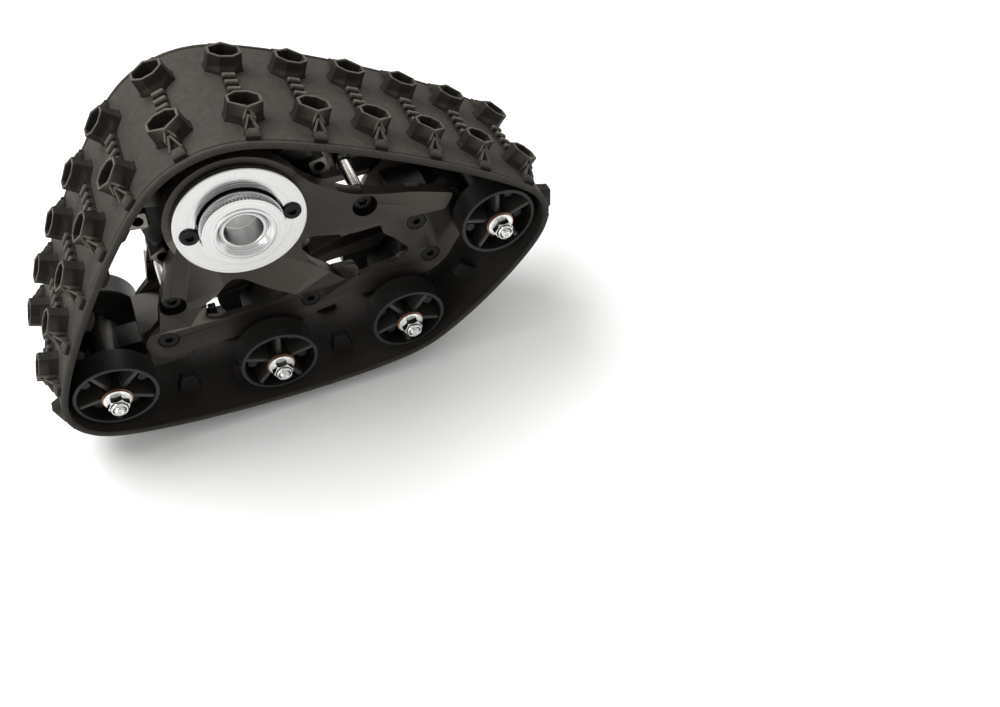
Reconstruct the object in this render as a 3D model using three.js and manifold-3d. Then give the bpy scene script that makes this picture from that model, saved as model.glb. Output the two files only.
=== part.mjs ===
// Rubber track unit for a model vehicle: one side of a track set, standing on its track.
// Millimetres. Worked out about the drive axis: X runs forward to the raised front idler,
// Z is up, Y runs across the unit with its middle at 0 and the outboard side at -Y.
// The finished group is moved so that its bounding box stands on Z = 0 around the origin.
import * as THREE from 'three';
import { mergeVertices } from 'three/addons/utils/BufferGeometryUtils.js';
import Module from 'manifold-3d';

const wasm = await Module();
wasm.setup();

// ---- driving dimensions ----
const OUTBOARD = -1;
const INBOARD = 1;
const GAP = 0.3; // clearance kept between neighbouring pieces

// wheel axles: places in the X-Z plane about the drive axis
const AXLES = {
  front: [73.7, -21.2],
  bogie_front: [42.9, -53.0],
  bogie_rear: [0.3, -54.5],
  rear: [-47.2, -47.9],
};

// belt: its inner path is a smooth wrap around the drive axis and the four axles
const BELT_CENTRES = [[0, 0], AXLES.front, AXLES.bogie_front, AXLES.bogie_rear, AXLES.rear];
const BELT_RADII = [28.9, 14.0, 12.0, 9.6, 13.4];
const BELT_SOFTNESS = 4.0;
const BELT_HALF_WIDTH = 22.9;
const BELT_THICKNESS = 1.6;
const LUG_ROWS = 23;
const POINTS_PER_ROW = 4;
const FIRST_ROW_ANGLE = 77; // degrees round the drive axis of one lug row on the top run

// tread lugs and drive lugs
const TREAD_HEIGHT = 5.0;
const ROOT = 0.8; // depth every lug is sunk into the belt
const CUP_OFFSET = 11.2;
const CUP_HALF_LENGTH = 4.4; // along the belt
const CUP_HALF_FLAT = 1.5; // across the belt, along each of the two side faces
const CUP_HALF_WIDTH = 4.1; // across the belt, to the two corners
const CUP_WALL = 0.8;
const CUP_FLOOR = 1.4;
const WEDGE_HALF_INNER = 1.1;
const WEDGE_HALF_OUTER = 2.4;
const WEDGE_REACH = 22.2;
const LADDER_HALF = 1.6;
const LADDER_HEIGHT = 1.4;
const RUNG_HEIGHT = 2.6;
const RUNG_OFFSETS = [-4, 4];
const RUNG_HALF = 0.8;
const DRIVE_LUG_FROM = 7.4;
const DRIVE_LUG_TO = 11.6;
const DRIVE_LUG_HEIGHT = 6.0;
const DRIVE_LUG_BASE = 3.2;
const DRIVE_LUG_TIP = 2.1;

// depths across the unit, measured from its middle
const FLANGE_FACE = 15.7;
const FLANGE_BACK = 14.0;
const HEAD_FACE = 13.7;
const HEAD_BACK = 9.7;
const RAIL_FACE = 10.4;
const RAIL_BACK = 8.2;
const BLOCK_HALF = RAIL_BACK - GAP;
const CARRIER_HALF = RAIL_BACK - 0.5;
const WHEEL_FACE = 20.3;
const WHEEL_BACK = 12.1;
const AXLE_END = 26.4;
const AXLE_SHOULDER = WHEEL_BACK - GAP;

// drive hub and sprocket
const FLANGE_R = 18;
const FLANGE_BORE_R = 12.2;
const HEAD_R = 20;
const PLATE_BORE_R = 12.6;
const FLANGE_SCREW_AT = 13.85;
const FLANGE_SCREW_R = 2.6;
const FLANGE_SCREW_TOP = FLANGE_FACE + 0.7;
const FLANGE_SEAT = FLANGE_BACK + 0.5;
const HUB_NECK_R = 10.6;
const HUB_KNURL_R = 11.4;
const HUB_LIP_R = 8.35;
const HUB_LIP_INNER_R = 7.4;
const HUB_FUNNEL_R = 5.9;
const HUB_BACK = 11.7;
const HUB_KNURL_FROM = FLANGE_FACE + 1.0;
const HUB_SHELF = FLANGE_FACE + 4.2;
const HUB_TOP = FLANGE_FACE + 4.6;
const HUB_FUNNEL_FLOOR = FLANGE_FACE + 2.8;
const DRIVE_BORE_R = 5.2;
const SLEEVE_R = 8.0;
const SLEEVE_INBOARD_END = 17.1;
const BAR_COUNT = 11;
const BAR_PHASE = 12; // degrees
const BAR_R = 25.3;
const BAR_SIZE = 5.0;
const BAR_HOLE_R = 1.5;
const BAR_HALF = DRIVE_LUG_FROM - GAP;
const DISC_FROM = 3.4;
const DISC_TO = 5.4;

// wheels, axles and nuts
const WHEEL_R = 12.06;
const WHEEL_RIM_INNER_R = 10.8;
const WHEEL_HUB_R = 3.6;
const WHEEL_BORE_R = 1.9;
const WHEEL_WEB = 1.4;
const WHEEL_SPOKES = 5;
const SPOKE_WIDTH = 1.5;
const HUB_RECESS = 0.4;
const AXLE_R = 1.5;
const AXLE_SHOULDER_R = 2.4;
const AXLE_HOLE_R = AXLE_SHOULDER_R + GAP;
const NUT_SEAT = 20.9;
const NUT_FLANGE_R = 4.0;
const NUT_FLANGE_TOP = 21.9;
const NUT_HEX_R = 5.5 / Math.sqrt(3);
const NUT_HEX_TOP = 24.5;
const NUT_COLLAR_R = 2.5;
const NUT_COLLAR_TOP = 25.7;

// plate screws (countersunk) and cross rods
const RAIL_SCREWS = [[50.7, -21.5], [54.6, -36.5], [14.8, -41.1], [-28.7, -41.6]];
const ROD_HOLES = [[34.6, -7.1], [-24.0, -25.3]];
const SCREW_HEAD_R = 2.95;
const SCREW_SHANK_R = 1.25;
const SCREW_HOLE_R = SCREW_SHANK_R + GAP;
const SCREW_HEAD_DEPTH = 1.7;
const RAIL_SCREW_END = 4.6;
const BLIND_END = RAIL_SCREW_END - GAP;
const COUNTERBORE_R = 3.7;
const COUNTERBORE_FLOOR = 10.6;
const ROD_HEAD_R = 2.75;
const ROD_HEAD_SUNK = 1.6; // below the face of the plate
const ROD_R = 2.0;
const ROD_SCREW_END = 5.7;

// belt tensioners: a tongue on each idler carrier slides along X in a pocket
const TENSION_TRAVEL = 3.0;
const TONGUE_HALF_HEIGHT = 3.0;
const TONGUE_HALF_WIDTH = 4.6;
const CARRIER_BOSS_R = 4.6;
const TENSION_SCREW_R = 1.25;
const FRONT_TONGUE_END = 56.6;
const REAR_TONGUE_END = -31.6;
const FRONT_SCREW_TIP = 38.0;
const REAR_SCREW_TIP = -13.0;
const REAR_SCREW_OFFSET = 2.8;
const TENSION_HEAD_R = 2.3;
const TENSION_HEAD_LENGTH = 2.4;

// ---- materials ----
const FINISHES = {
  rubber: [0x2b2927, 0.88, 0.0],
  anodised: [0x3b362f, 0.42, 0.85],
  polished: [0xd2d2d0, 0.22, 1.0],
  plastic: [0x33302c, 0.55, 0.0],
  steel: [0xb9bbbd, 0.3, 1.0],
  black_steel: [0x26251f, 0.4, 0.9],
  black_alloy: [0x22211f, 0.45, 0.8],
};

const unit = new THREE.Group();
unit.name = 'track_unit';

function addPiece(name, geometry, finish) {
  const [colour, roughness, metalness] = FINISHES[finish];
  const material = new THREE.MeshStandardMaterial({ color: colour, roughness, metalness });
  const solid = facingOut(geometry).toNonIndexed();
  solid.computeVertexNormals();
  const mesh = new THREE.Mesh(solid, material);
  mesh.name = name;
  unit.add(mesh);
}

// ---- solids ----
function welded(geometry) {
  const bare = geometry.index ? geometry.clone() : geometry;
  bare.deleteAttribute('normal');
  bare.deleteAttribute('uv');
  return mergeVertices(bare, 1e-4);
}

function signedVolume(geometry) {
  const place = geometry.attributes.position;
  const index = geometry.index;
  const a = new THREE.Vector3();
  const b = new THREE.Vector3();
  const c = new THREE.Vector3();
  let total = 0;
  for (let i = 0; i < index.count; i += 3) {
    a.fromBufferAttribute(place, index.getX(i));
    b.fromBufferAttribute(place, index.getX(i + 1));
    c.fromBufferAttribute(place, index.getX(i + 2));
    total += a.dot(b.cross(c)) / 6;
  }
  return total;
}

// turns a closed surface the right way out
function facingOut(geometry) {
  const solid = welded(geometry);
  if (signedVolume(solid) < 0) {
    const order = solid.index.array;
    for (let i = 0; i < order.length; i += 3) {
      const first = order[i];
      order[i] = order[i + 1];
      order[i + 1] = first;
    }
  }
  return solid;
}

function toManifold(geometry) {
  const solid = facingOut(geometry);
  const mesh = new wasm.Mesh({
    numProp: 3,
    vertProperties: new Float32Array(solid.attributes.position.array),
    triVerts: new Uint32Array(solid.index.array),
  });
  return new wasm.Manifold(mesh);
}

function fromManifold(manifold) {
  const mesh = manifold.getMesh();
  const geometry = new THREE.BufferGeometry();
  geometry.setAttribute('position', new THREE.BufferAttribute(mesh.vertProperties, 3));
  geometry.setIndex(new THREE.BufferAttribute(mesh.triVerts, 1));
  return geometry;
}

function shaped(base, joined, removed) {
  let solid = toManifold(base);
  for (const piece of joined) {
    solid = solid.add(toManifold(piece));
  }
  for (const piece of removed) {
    solid = solid.subtract(toManifold(piece));
  }
  return fromManifold(solid);
}

// closed outline through [x, z] points; a third number rounds that corner
function outline(points) {
  const shape = new THREE.Shape();
  const count = points.length;
  const near = (from, to, reach) => {
    const length = Math.hypot(to[0] - from[0], to[1] - from[1]);
    const part = Math.min(reach / length, 0.45);
    return [from[0] + (to[0] - from[0]) * part, from[1] + (to[1] - from[1]) * part];
  };
  points.forEach((corner, i) => {
    const radius = corner[2] || 0;
    if (radius === 0) {
      if (i === 0) {
        shape.moveTo(corner[0], corner[1]);
      } else {
        shape.lineTo(corner[0], corner[1]);
      }
      return;
    }
    const start = near(corner, points[(i + count - 1) % count], radius);
    const end = near(corner, points[(i + 1) % count], radius);
    if (i === 0) {
      shape.moveTo(start[0], start[1]);
    } else {
      shape.lineTo(start[0], start[1]);
    }
    shape.quadraticCurveTo(corner[0], corner[1], end[0], end[1]);
  });
  shape.closePath();
  return shape;
}

// X-Z outline given thickness across the unit, from yLow to yHigh
function slab(shape, yLow, yHigh) {
  const solid = new THREE.ExtrudeGeometry(shape, {
    depth: yHigh - yLow,
    bevelEnabled: false,
    curveSegments: 2,
  });
  solid.rotateX(Math.PI / 2);
  solid.translate(0, yHigh, 0);
  return solid;
}

// the same between two depths measured from the middle towards one side
function sideSlab(shape, side, inner, outer) {
  const a = side * inner;
  const b = side * outer;
  return slab(shape, Math.min(a, b), Math.max(a, b));
}

// solid turned about an axis along Y; profile points are [radius, y]
function turned(profile, [x, z], segments) {
  const points = profile.map(([radius, y]) => new THREE.Vector2(radius, y));
  const solid = new THREE.LatheGeometry(points, segments);
  solid.translate(x, 0, z);
  return solid;
}

function rodAcross(radius, centre, yLow, yHigh, segments = 16) {
  return turned([[0, yLow], [radius, yLow], [radius, yHigh], [0, yHigh]], centre, segments);
}

function ringAcross(outerR, innerR, centre, yLow, yHigh, segments = 24) {
  const profile = [[innerR, yLow], [outerR, yLow], [outerR, yHigh], [innerR, yHigh], [innerR, yLow]];
  return turned(profile, centre, segments);
}

function rodAlong(radius, xLow, xHigh, y, z, segments = 10) {
  const solid = new THREE.CylinderGeometry(radius, radius, xHigh - xLow, segments);
  solid.rotateZ(Math.PI / 2);
  solid.translate((xLow + xHigh) / 2, y, z);
  return solid;
}

function block(xLow, xHigh, yLow, yHigh, zLow, zHigh) {
  const solid = new THREE.BoxGeometry(xHigh - xLow, yHigh - yLow, zHigh - zLow);
  solid.translate((xLow + xHigh) / 2, (yLow + yHigh) / 2, (zLow + zHigh) / 2);
  return solid;
}

// six-sided solid between two four-cornered faces whose corners run the same way round
function sixSided(faceA, faceB) {
  const corners = [...faceA, ...faceB];
  const faces = [[0, 1, 2], [0, 2, 3], [4, 6, 5], [4, 7, 6]];
  for (let i = 0; i < 4; i += 1) {
    const next = (i + 1) % 4;
    faces.push([i, i + 4, next + 4], [i, next + 4, next]);
  }
  const solid = new THREE.BufferGeometry();
  solid.setAttribute('position', new THREE.Float32BufferAttribute(corners.flat(), 3));
  solid.setIndex(faces.flat());
  return solid;
}

// ---- belt ----
// support-function wrap: the path point whose outward direction is the given angle
function beltPoint(angle, offset) {
  const out = [Math.cos(angle), Math.sin(angle)];
  const along = [-out[1], out[0]];
  const reach = BELT_CENTRES.map(([x, z], i) => (
    (out[0] * x + out[1] * z + BELT_RADII[i]) / BELT_SOFTNESS));
  const top = Math.max(...reach);
  const weights = reach.map((value) => Math.exp(value - top));
  const total = weights.reduce((sum, value) => sum + value, 0);
  const height = BELT_SOFTNESS * (top + Math.log(total)) + offset;
  let slide = 0;
  weights.forEach((weight, i) => {
    const [x, z] = BELT_CENTRES[i];
    slide += (weight / total) * (along[0] * x + along[1] * z);
  });
  return {
    x: height * out[0] + slide * along[0],
    z: height * out[1] + slide * along[1],
    out,
  };
}

// equal steps along the inner path, starting from the first lug row
function beltStations(count) {
  const fine = 2880;
  const start = THREE.MathUtils.degToRad(FIRST_ROW_ANGLE);
  const samples = [];
  let travelled = 0;
  for (let i = 0; i <= fine; i += 1) {
    const angle = start + (2 * Math.PI * i) / fine;
    const point = beltPoint(angle, 0);
    if (i > 0) {
      const last = samples[i - 1].point;
      travelled += Math.hypot(point.x - last.x, point.z - last.z);
    }
    samples.push({ angle, point, travelled });
  }
  const stations = [];
  let at = 0;
  for (let k = 0; k < count; k += 1) {
    const wanted = (travelled * k) / count;
    while (samples[at + 1].travelled < wanted) {
      at += 1;
    }
    const a = samples[at];
    const b = samples[at + 1];
    const part = (wanted - a.travelled) / (b.travelled - a.travelled);
    stations.push(a.angle + (b.angle - a.angle) * part);
  }
  return stations;
}

function beltBand(angles) {
  const loop = (offset) => angles.map((angle) => {
    const point = beltPoint(angle, offset);
    return new THREE.Vector2(point.x, point.z);
  });
  const shape = new THREE.Shape(loop(BELT_THICKNESS));
  shape.holes.push(new THREE.Path(loop(0)));
  return slab(shape, -BELT_HALF_WIDTH, BELT_HALF_WIDTH);
}

// one hollow hexagonal tread cup; here X runs along the belt and Z out of it
function treadCup(side) {
  const hexagon = (inset) => {
    const shape = new THREE.Shape();
    const long = CUP_HALF_LENGTH - inset;
    const flat = CUP_HALF_FLAT - inset * 0.3;
    const wide = CUP_HALF_WIDTH - inset * 1.3;
    const corners = [[long, -flat], [long, flat], [0, wide], [-long, flat], [-long, -flat], [0, -wide]];
    shape.setFromPoints(corners.map(([x, y]) => new THREE.Vector2(x, y)));
    return shape;
  };
  const raise = (shape, low, high) => {
    const solid = new THREE.ExtrudeGeometry(shape, { depth: high - low, bevelEnabled: false });
    solid.translate(0, side * CUP_OFFSET, low);
    return solid;
  };
  const body = raise(hexagon(0), -ROOT, TREAD_HEIGHT);
  const hollow = raise(hexagon(CUP_WALL), CUP_FLOOR, TREAD_HEIGHT + 1);
  return shaped(body, [], [hollow]);
}

// sloping wedge from a tread cup out to the belt edge
function edgeWedge(side) {
  const inner = side * (CUP_OFFSET + CUP_HALF_WIDTH - 1.0);
  const outer = side * WEDGE_REACH;
  const face = (y, half, high) => [[-half, y, -ROOT], [half, y, -ROOT], [half, y, high], [-half, y, high]];
  return sixSided(face(inner, WEDGE_HALF_INNER, TREAD_HEIGHT - 0.4), face(outer, WEDGE_HALF_OUTER, 0.4));
}

// ribbed strip joining the two cups of a row
function ladder() {
  const reach = CUP_OFFSET - CUP_HALF_WIDTH + 1.0;
  const pieces = [block(-LADDER_HALF, LADDER_HALF, -reach, reach, -ROOT, LADDER_HEIGHT)];
  for (const y of RUNG_OFFSETS) {
    pieces.push(block(-LADDER_HALF, LADDER_HALF, y - RUNG_HALF, y + RUNG_HALF, -ROOT, RUNG_HEIGHT));
  }
  return pieces;
}

// tapered lug inside the belt
function driveLug(side) {
  const base = -BELT_THICKNESS + ROOT;
  const tip = -BELT_THICKNESS - DRIVE_LUG_HEIGHT;
  const a = side * DRIVE_LUG_FROM;
  const b = side * DRIVE_LUG_TO;
  const draft = side * 0.6;
  const face = (half, z, inset) => [
    [-half, a + inset, z], [half, a + inset, z], [half, b - inset, z], [-half, b - inset, z]];
  return sixSided(face(DRIVE_LUG_BASE, base, 0), face(DRIVE_LUG_TIP, tip, draft));
}

function belt() {
  const angles = beltStations(LUG_ROWS * POINTS_PER_ROW);
  const parts = ladder();
  for (const side of [OUTBOARD, INBOARD]) {
    parts.push(treadCup(side), edgeWedge(side), driveLug(side));
  }
  let solid = toManifold(beltBand(angles));
  for (let row = 0; row < LUG_ROWS; row += 1) {
    const angle = angles[row * POINTS_PER_ROW];
    const seat = beltPoint(angle, BELT_THICKNESS);
    const out = new THREE.Vector3(seat.out[0], 0, seat.out[1]);
    const across = new THREE.Vector3(0, 1, 0);
    const along = new THREE.Vector3().crossVectors(across, out);
    const place = new THREE.Matrix4().makeBasis(along, across, out);
    place.setPosition(seat.x, 0, seat.z);
    for (const part of parts) {
      solid = solid.add(toManifold(part.clone().applyMatrix4(place)));
    }
  }
  return fromManifold(solid);
}

// ---- side plates ----
const FRONT_LEG = [
  [8, 18.3], [14.5, 13.8], [20.8, 5.6, 3], [30.9, -1.6, 4], [40.5, -4.5], [49.8, -6.6, 3],
  [61.8, -10.9, 1.5], [59, -16.4, 1.5], [46.3, -15.6], [37.4, -15.9], [29.6, -16.2, 3],
  [18.2, -13, 2], [15.2, -14.2, 1.5], [14.4, -17.6], [4, -10]];
const MID_LEG = [
  [-8, -16], [-5.9, -21.2], [-3.4, -21.9, 1.5], [3.8, -29.3, 3], [10.2, -34.2],
  [21.6, -28.9], [16.6, -23.6, 3], [14.5, -18.8, 2], [14.4, -17.6], [8, -8]];
const MID_LEG_END = [[10.2, -34.2], [21.6, -28.9], [26.4, -36.9], [13, -40.4]];
const REAR_LEG = [
  [-18.6, -6], [-22.4, -11.3], [-25.4, -19.3], [-28.2, -27.4], [-16.6, -28.4], [-12.2, -26],
  [-8.1, -21.9, 1.5], [-5.9, -21.2], [-4, -10]];
const REAR_LEG_END = [[-28.2, -27.4], [-16.6, -28.4], [-21.4, -38.2], [-30.4, -37.0]];
const RAIL = [
  [50, -8.4], [62, -11.6], [65, -13.8, 2], [66.5, -24, 3], [65, -31.2], [59, -41.7, 4],
  [50, -45.2, 4], [26, -46], [9, -48.4], [-18, -48.4], [-30, -49.6, 3], [-35, -45.8, 3],
  [-35.5, -40, 3], [-29.5, -34], [-23, -33], [-15.3, -32], [-16.9, -37, 2], [-13, -38.8, 2],
  [3, -38.4], [9, -36.4], [12, -33], [23.5, -31.2], [29.8, -31.6, 1.5], [31.2, -34, 1.5],
  [30.4, -37.3, 1], [44, -35.4, 2], [48.2, -32.2, 2], [43.4, -25.8], [39.8, -22.4, 1.5],
  [39.8, -18.5, 1.5], [43, -14]];

// the bent lower end of a leg, sloping from the head face down to the rail
function legEnd([highA, highB, lowB, lowA], side) {
  const at = ([x, z], depth) => [x, side * depth, z];
  const floor = RAIL_BACK + 0.8;
  return sixSided(
    [at(highA, HEAD_FACE), at(highB, HEAD_FACE), at(lowB, RAIL_FACE + 0.2), at(lowA, RAIL_FACE + 0.2)],
    [at(highA, floor), at(highB, floor), at(lowB, floor), at(lowA, floor)]);
}

// countersink for a flat-headed screw, a clearance wider than the screw all round
function countersunk(side, clearance) {
  const top = clearance > 0 ? HEAD_FACE + 1 : RAIL_FACE - 0.1;
  const taper = SCREW_HEAD_R + clearance;
  const shank = SCREW_SHANK_R + clearance;
  const bottom = clearance > 0 ? RAIL_BACK - 1 : RAIL_SCREW_END;
  const profile = [
    [0, side * bottom], [shank, side * bottom],
    [shank, side * (RAIL_FACE - SCREW_HEAD_DEPTH - 0.1)],
    [taper, side * (RAIL_FACE - 0.1)], [taper, side * top], [0, side * top]];
  return clearance > 0 ? profile : profile.filter((_, i) => i !== 4);
}

function sidePlate(side) {
  const head = rodAcross(HEAD_R, [0, 0], ...sideSpan(side, HEAD_BACK, HEAD_FACE), 36);
  const joined = [FRONT_LEG, MID_LEG, REAR_LEG].map((points) => (
    sideSlab(outline(points), side, HEAD_BACK, HEAD_FACE)));
  joined.push(sideSlab(outline(RAIL), side, RAIL_BACK, RAIL_FACE));
  joined.push(legEnd(MID_LEG_END, side), legEnd(REAR_LEG_END, side));
  const through = sideSpan(side, RAIL_BACK - 1, HEAD_FACE + 1);
  const removed = [rodAcross(PLATE_BORE_R, [0, 0], ...through, 30)];
  for (const x of [-FLANGE_SCREW_AT, FLANGE_SCREW_AT]) {
    removed.push(rodAcross(SCREW_HOLE_R, [x, 0], ...through, 8));
  }
  for (const hole of ROD_HOLES) {
    removed.push(rodAcross(SCREW_HOLE_R, hole, ...through, 8));
    removed.push(rodAcross(COUNTERBORE_R, hole, ...sideSpan(side, COUNTERBORE_FLOOR, HEAD_FACE + 1), 14));
  }
  for (const place of RAIL_SCREWS) {
    removed.push(turned(countersunk(side, GAP), place, 12));
  }
  return shaped(head, joined, removed);
}

function sideSpan(side, inner, outer) {
  const a = side * inner;
  const b = side * outer;
  return [Math.min(a, b), Math.max(a, b)];
}

// ---- drive hub ----
function hubFlange(side) {
  const ring = ringAcross(FLANGE_R, FLANGE_BORE_R, [0, 0], ...sideSpan(side, FLANGE_BACK, FLANGE_FACE), 36);
  const removed = [];
  for (const x of [-FLANGE_SCREW_AT, FLANGE_SCREW_AT]) {
    removed.push(rodAcross(SCREW_HOLE_R, [x, 0], ...sideSpan(side, FLANGE_BACK - 1, FLANGE_FACE + 1), 8));
    removed.push(rodAcross(FLANGE_SCREW_R + GAP, [x, 0], ...sideSpan(side, FLANGE_SEAT, FLANGE_FACE + 1), 14));
  }
  return shaped(ring, [], removed);
}

function flangeScrew(side, x) {
  const head = FLANGE_SEAT + GAP;
  const top = FLANGE_SCREW_TOP;
  const profile = [
    [0, HEAD_BACK + 0.5], [SCREW_SHANK_R, HEAD_BACK + 0.5], [SCREW_SHANK_R, head],
    [FLANGE_SCREW_R, head], [FLANGE_SCREW_R, top], [0, top]].map(([r, d]) => [r, side * d]);
  return shaped(turned(profile, [x, 0], 16), [], [hexSocket([x, 0], side, top, 0.9)]);
}

function hexSocket(centre, side, top, depth) {
  return rodAcross(1.1, centre, ...sideSpan(side, top - depth, top + 1), 6);
}

function knurledHub() {
  const profile = [
    [DRIVE_BORE_R, HUB_BACK], [HUB_NECK_R, HUB_BACK], [HUB_NECK_R, HUB_KNURL_FROM],
    [HUB_KNURL_R, HUB_KNURL_FROM], [HUB_KNURL_R, HUB_SHELF], [HUB_LIP_R, HUB_SHELF + 0.15],
    [HUB_LIP_R, HUB_TOP], [HUB_LIP_INNER_R, HUB_TOP], [HUB_FUNNEL_R, HUB_FUNNEL_FLOOR],
    [DRIVE_BORE_R, HUB_FUNNEL_FLOOR], [DRIVE_BORE_R, HUB_BACK]].map(([r, d]) => [r, OUTBOARD * d]);
  return turned(profile, [0, 0], 30);
}

function driveSleeve() {
  const outboard = OUTBOARD * (HUB_BACK - GAP);
  return ringAcross(SLEEVE_R, DRIVE_BORE_R, [0, 0], outboard, SLEEVE_INBOARD_END, 24);
}

function driveBearing(side) {
  const outer = PLATE_BORE_R - GAP;
  const inner = SLEEVE_R + GAP;
  return ringAcross(outer, inner, [0, 0], ...sideSpan(side, DISC_TO + 2.4, HUB_BACK - GAP), 24);
}

// ---- sprocket ----
function barAngle(index) {
  return THREE.MathUtils.degToRad(BAR_PHASE + (360 * index) / BAR_COUNT);
}

function sprocketDisc(side) {
  const ring = ringAcross(BAR_R, SLEEVE_R + GAP, [0, 0], ...sideSpan(side, DISC_FROM, DISC_TO), 33);
  const removed = [];
  const seat = BAR_SIZE / 2 + GAP;
  for (let i = 0; i < BAR_COUNT; i += 1) {
    const notch = block(BAR_R - seat, BAR_R + seat, ...sideSpan(side, DISC_FROM - 1, DISC_TO + 1), -seat, seat);
    notch.rotateY(-barAngle(i));
    removed.push(notch);
  }
  return shaped(ring, [], removed);
}

function circlePoints(radius, count) {
  return Array.from({ length: count }, (_, i) => {
    const angle = (2 * Math.PI * i) / count;
    return new THREE.Vector2(radius * Math.cos(angle), -radius * Math.sin(angle));
  });
}

function sprocketBar(index) {
  const half = BAR_SIZE / 2;
  const shape = outline([[-half, -half], [half, -half], [half, half], [-half, half]]);
  const hole = new THREE.Path();
  hole.setFromPoints(circlePoints(BAR_HOLE_R, 10));
  shape.holes.push(hole);
  const bar = slab(shape, -BAR_HALF, BAR_HALF);
  bar.translate(BAR_R, 0, 0);
  bar.rotateY(-barAngle(index));
  return bar;
}

// ---- wheels and axles ----
function wheel(side, [x, z], turn) {
  const web = WHEEL_BACK + WHEEL_WEB;
  const profile = [
    [WHEEL_R, WHEEL_FACE], [WHEEL_R, WHEEL_BACK], [WHEEL_BORE_R, WHEEL_BACK],
    [WHEEL_BORE_R, WHEEL_FACE - HUB_RECESS], [WHEEL_HUB_R, WHEEL_FACE - HUB_RECESS],
    [WHEEL_HUB_R, web], [WHEEL_RIM_INNER_R, web], [WHEEL_RIM_INNER_R, WHEEL_FACE],
    [WHEEL_R, WHEEL_FACE]].map(([r, d]) => [r, side * d]);
  const spokes = [];
  for (let i = 0; i < WHEEL_SPOKES; i += 1) {
    const depth = sideSpan(side, web - 0.4, WHEEL_FACE - 0.6);
    const spoke = block(WHEEL_HUB_R - 0.5, WHEEL_RIM_INNER_R + 0.5, ...depth, -SPOKE_WIDTH / 2, SPOKE_WIDTH / 2);
    spoke.rotateY(-turn - (2 * Math.PI * i) / WHEEL_SPOKES);
    spokes.push(spoke);
  }
  const solid = shaped(turned(profile, [0, 0], 20), spokes, []);
  solid.translate(x, 0, z);
  return solid;
}

function axle(centre) {
  const profile = [
    [0, -AXLE_END], [AXLE_R, -AXLE_END], [AXLE_R, -AXLE_SHOULDER], [AXLE_SHOULDER_R, -AXLE_SHOULDER],
    [AXLE_SHOULDER_R, AXLE_SHOULDER], [AXLE_R, AXLE_SHOULDER], [AXLE_R, AXLE_END], [0, AXLE_END]];
  return turned(profile, centre, 14);
}

function lockNut(side, centre) {
  const flange = rodAcross(NUT_FLANGE_R, centre, ...sideSpan(side, NUT_SEAT, NUT_FLANGE_TOP), 14);
  const hex = rodAcross(NUT_HEX_R, centre, ...sideSpan(side, NUT_SEAT + 0.5, NUT_HEX_TOP), 6);
  const collar = rodAcross(NUT_COLLAR_R, centre, ...sideSpan(side, NUT_SEAT + 0.5, NUT_COLLAR_TOP), 10);
  const bore = rodAcross(AXLE_R + GAP, centre, ...sideSpan(side, NUT_SEAT - 1, AXLE_END), 8);
  return shaped(flange, [hex, collar], [bore]);
}

// ---- frame blocks, carriers, rods and screws ----
function crossBlock(points, screws, axleAt, pockets) {
  const base = slab(outline(points), -BLOCK_HALF, BLOCK_HALF);
  const removed = [...pockets];
  for (const screw of screws) {
    for (const side of [OUTBOARD, INBOARD]) {
      removed.push(rodAcross(SCREW_HOLE_R, screw, ...sideSpan(side, BLIND_END, BLOCK_HALF + 1), 8));
    }
  }
  if (axleAt) {
    removed.push(rodAcross(AXLE_HOLE_R, axleAt, -BLOCK_HALF - 1, BLOCK_HALF + 1, 16));
  }
  return shaped(base, [], removed);
}

function tonguePocket(xLow, xHigh, z) {
  const wide = TONGUE_HALF_WIDTH + GAP;
  const high = TONGUE_HALF_HEIGHT + GAP;
  return block(xLow, xHigh, -wide, wide, z - high, z + high);
}

function frontBlock() {
  const points = [
    [45.5, -14.5], [57, -14.5], [60, -17], [60, -40], [48.5, -58], [38, -58], [38, -49], [45.5, -42]];
  const z = AXLES.front[1];
  const pocket = tonguePocket(FRONT_TONGUE_END - TENSION_TRAVEL - 0.4, 61, z);
  const hole = rodAlong(TENSION_SCREW_R + GAP, 44, 55, 0, z);
  return crossBlock(points, RAIL_SCREWS.slice(0, 2), AXLES.bogie_front, [pocket, hole]);
}

function middleBlock() {
  const points = [[9.5, -36.8], [19.5, -36.8], [19.5, -45], [5.5, -59.5], [-5, -59.5], [-5, -50]];
  return crossBlock(points, [RAIL_SCREWS[2]], AXLES.bogie_rear, []);
}

function rearBlock() {
  const points = [[-36, -37.5], [-23.5, -37.5], [-23.5, -54], [-36, -54]];
  const z = AXLES.rear[1];
  const pocket = tonguePocket(-37, REAR_TONGUE_END + TENSION_TRAVEL + 0.4, z);
  const holes = [-REAR_SCREW_OFFSET, REAR_SCREW_OFFSET].map((y) => (
    rodAlong(TENSION_SCREW_R + GAP, -30, -22, y, z)));
  return crossBlock(points, [RAIL_SCREWS[3]], null, [pocket, ...holes]);
}

function carrier([x, z], tongueEnd) {
  const boss = rodAcross(CARRIER_BOSS_R, [x, z], -CARRIER_HALF, CARRIER_HALF, 24);
  const low = Math.min(x, tongueEnd);
  const high = Math.max(x, tongueEnd);
  const tongue = block(low, high, -TONGUE_HALF_WIDTH, TONGUE_HALF_WIDTH, z - TONGUE_HALF_HEIGHT, z + TONGUE_HALF_HEIGHT);
  const bore = rodAcross(AXLE_HOLE_R, [x, z], -CARRIER_HALF - 1, CARRIER_HALF + 1, 16);
  return shaped(tongue, [boss], [bore]);
}

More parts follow.
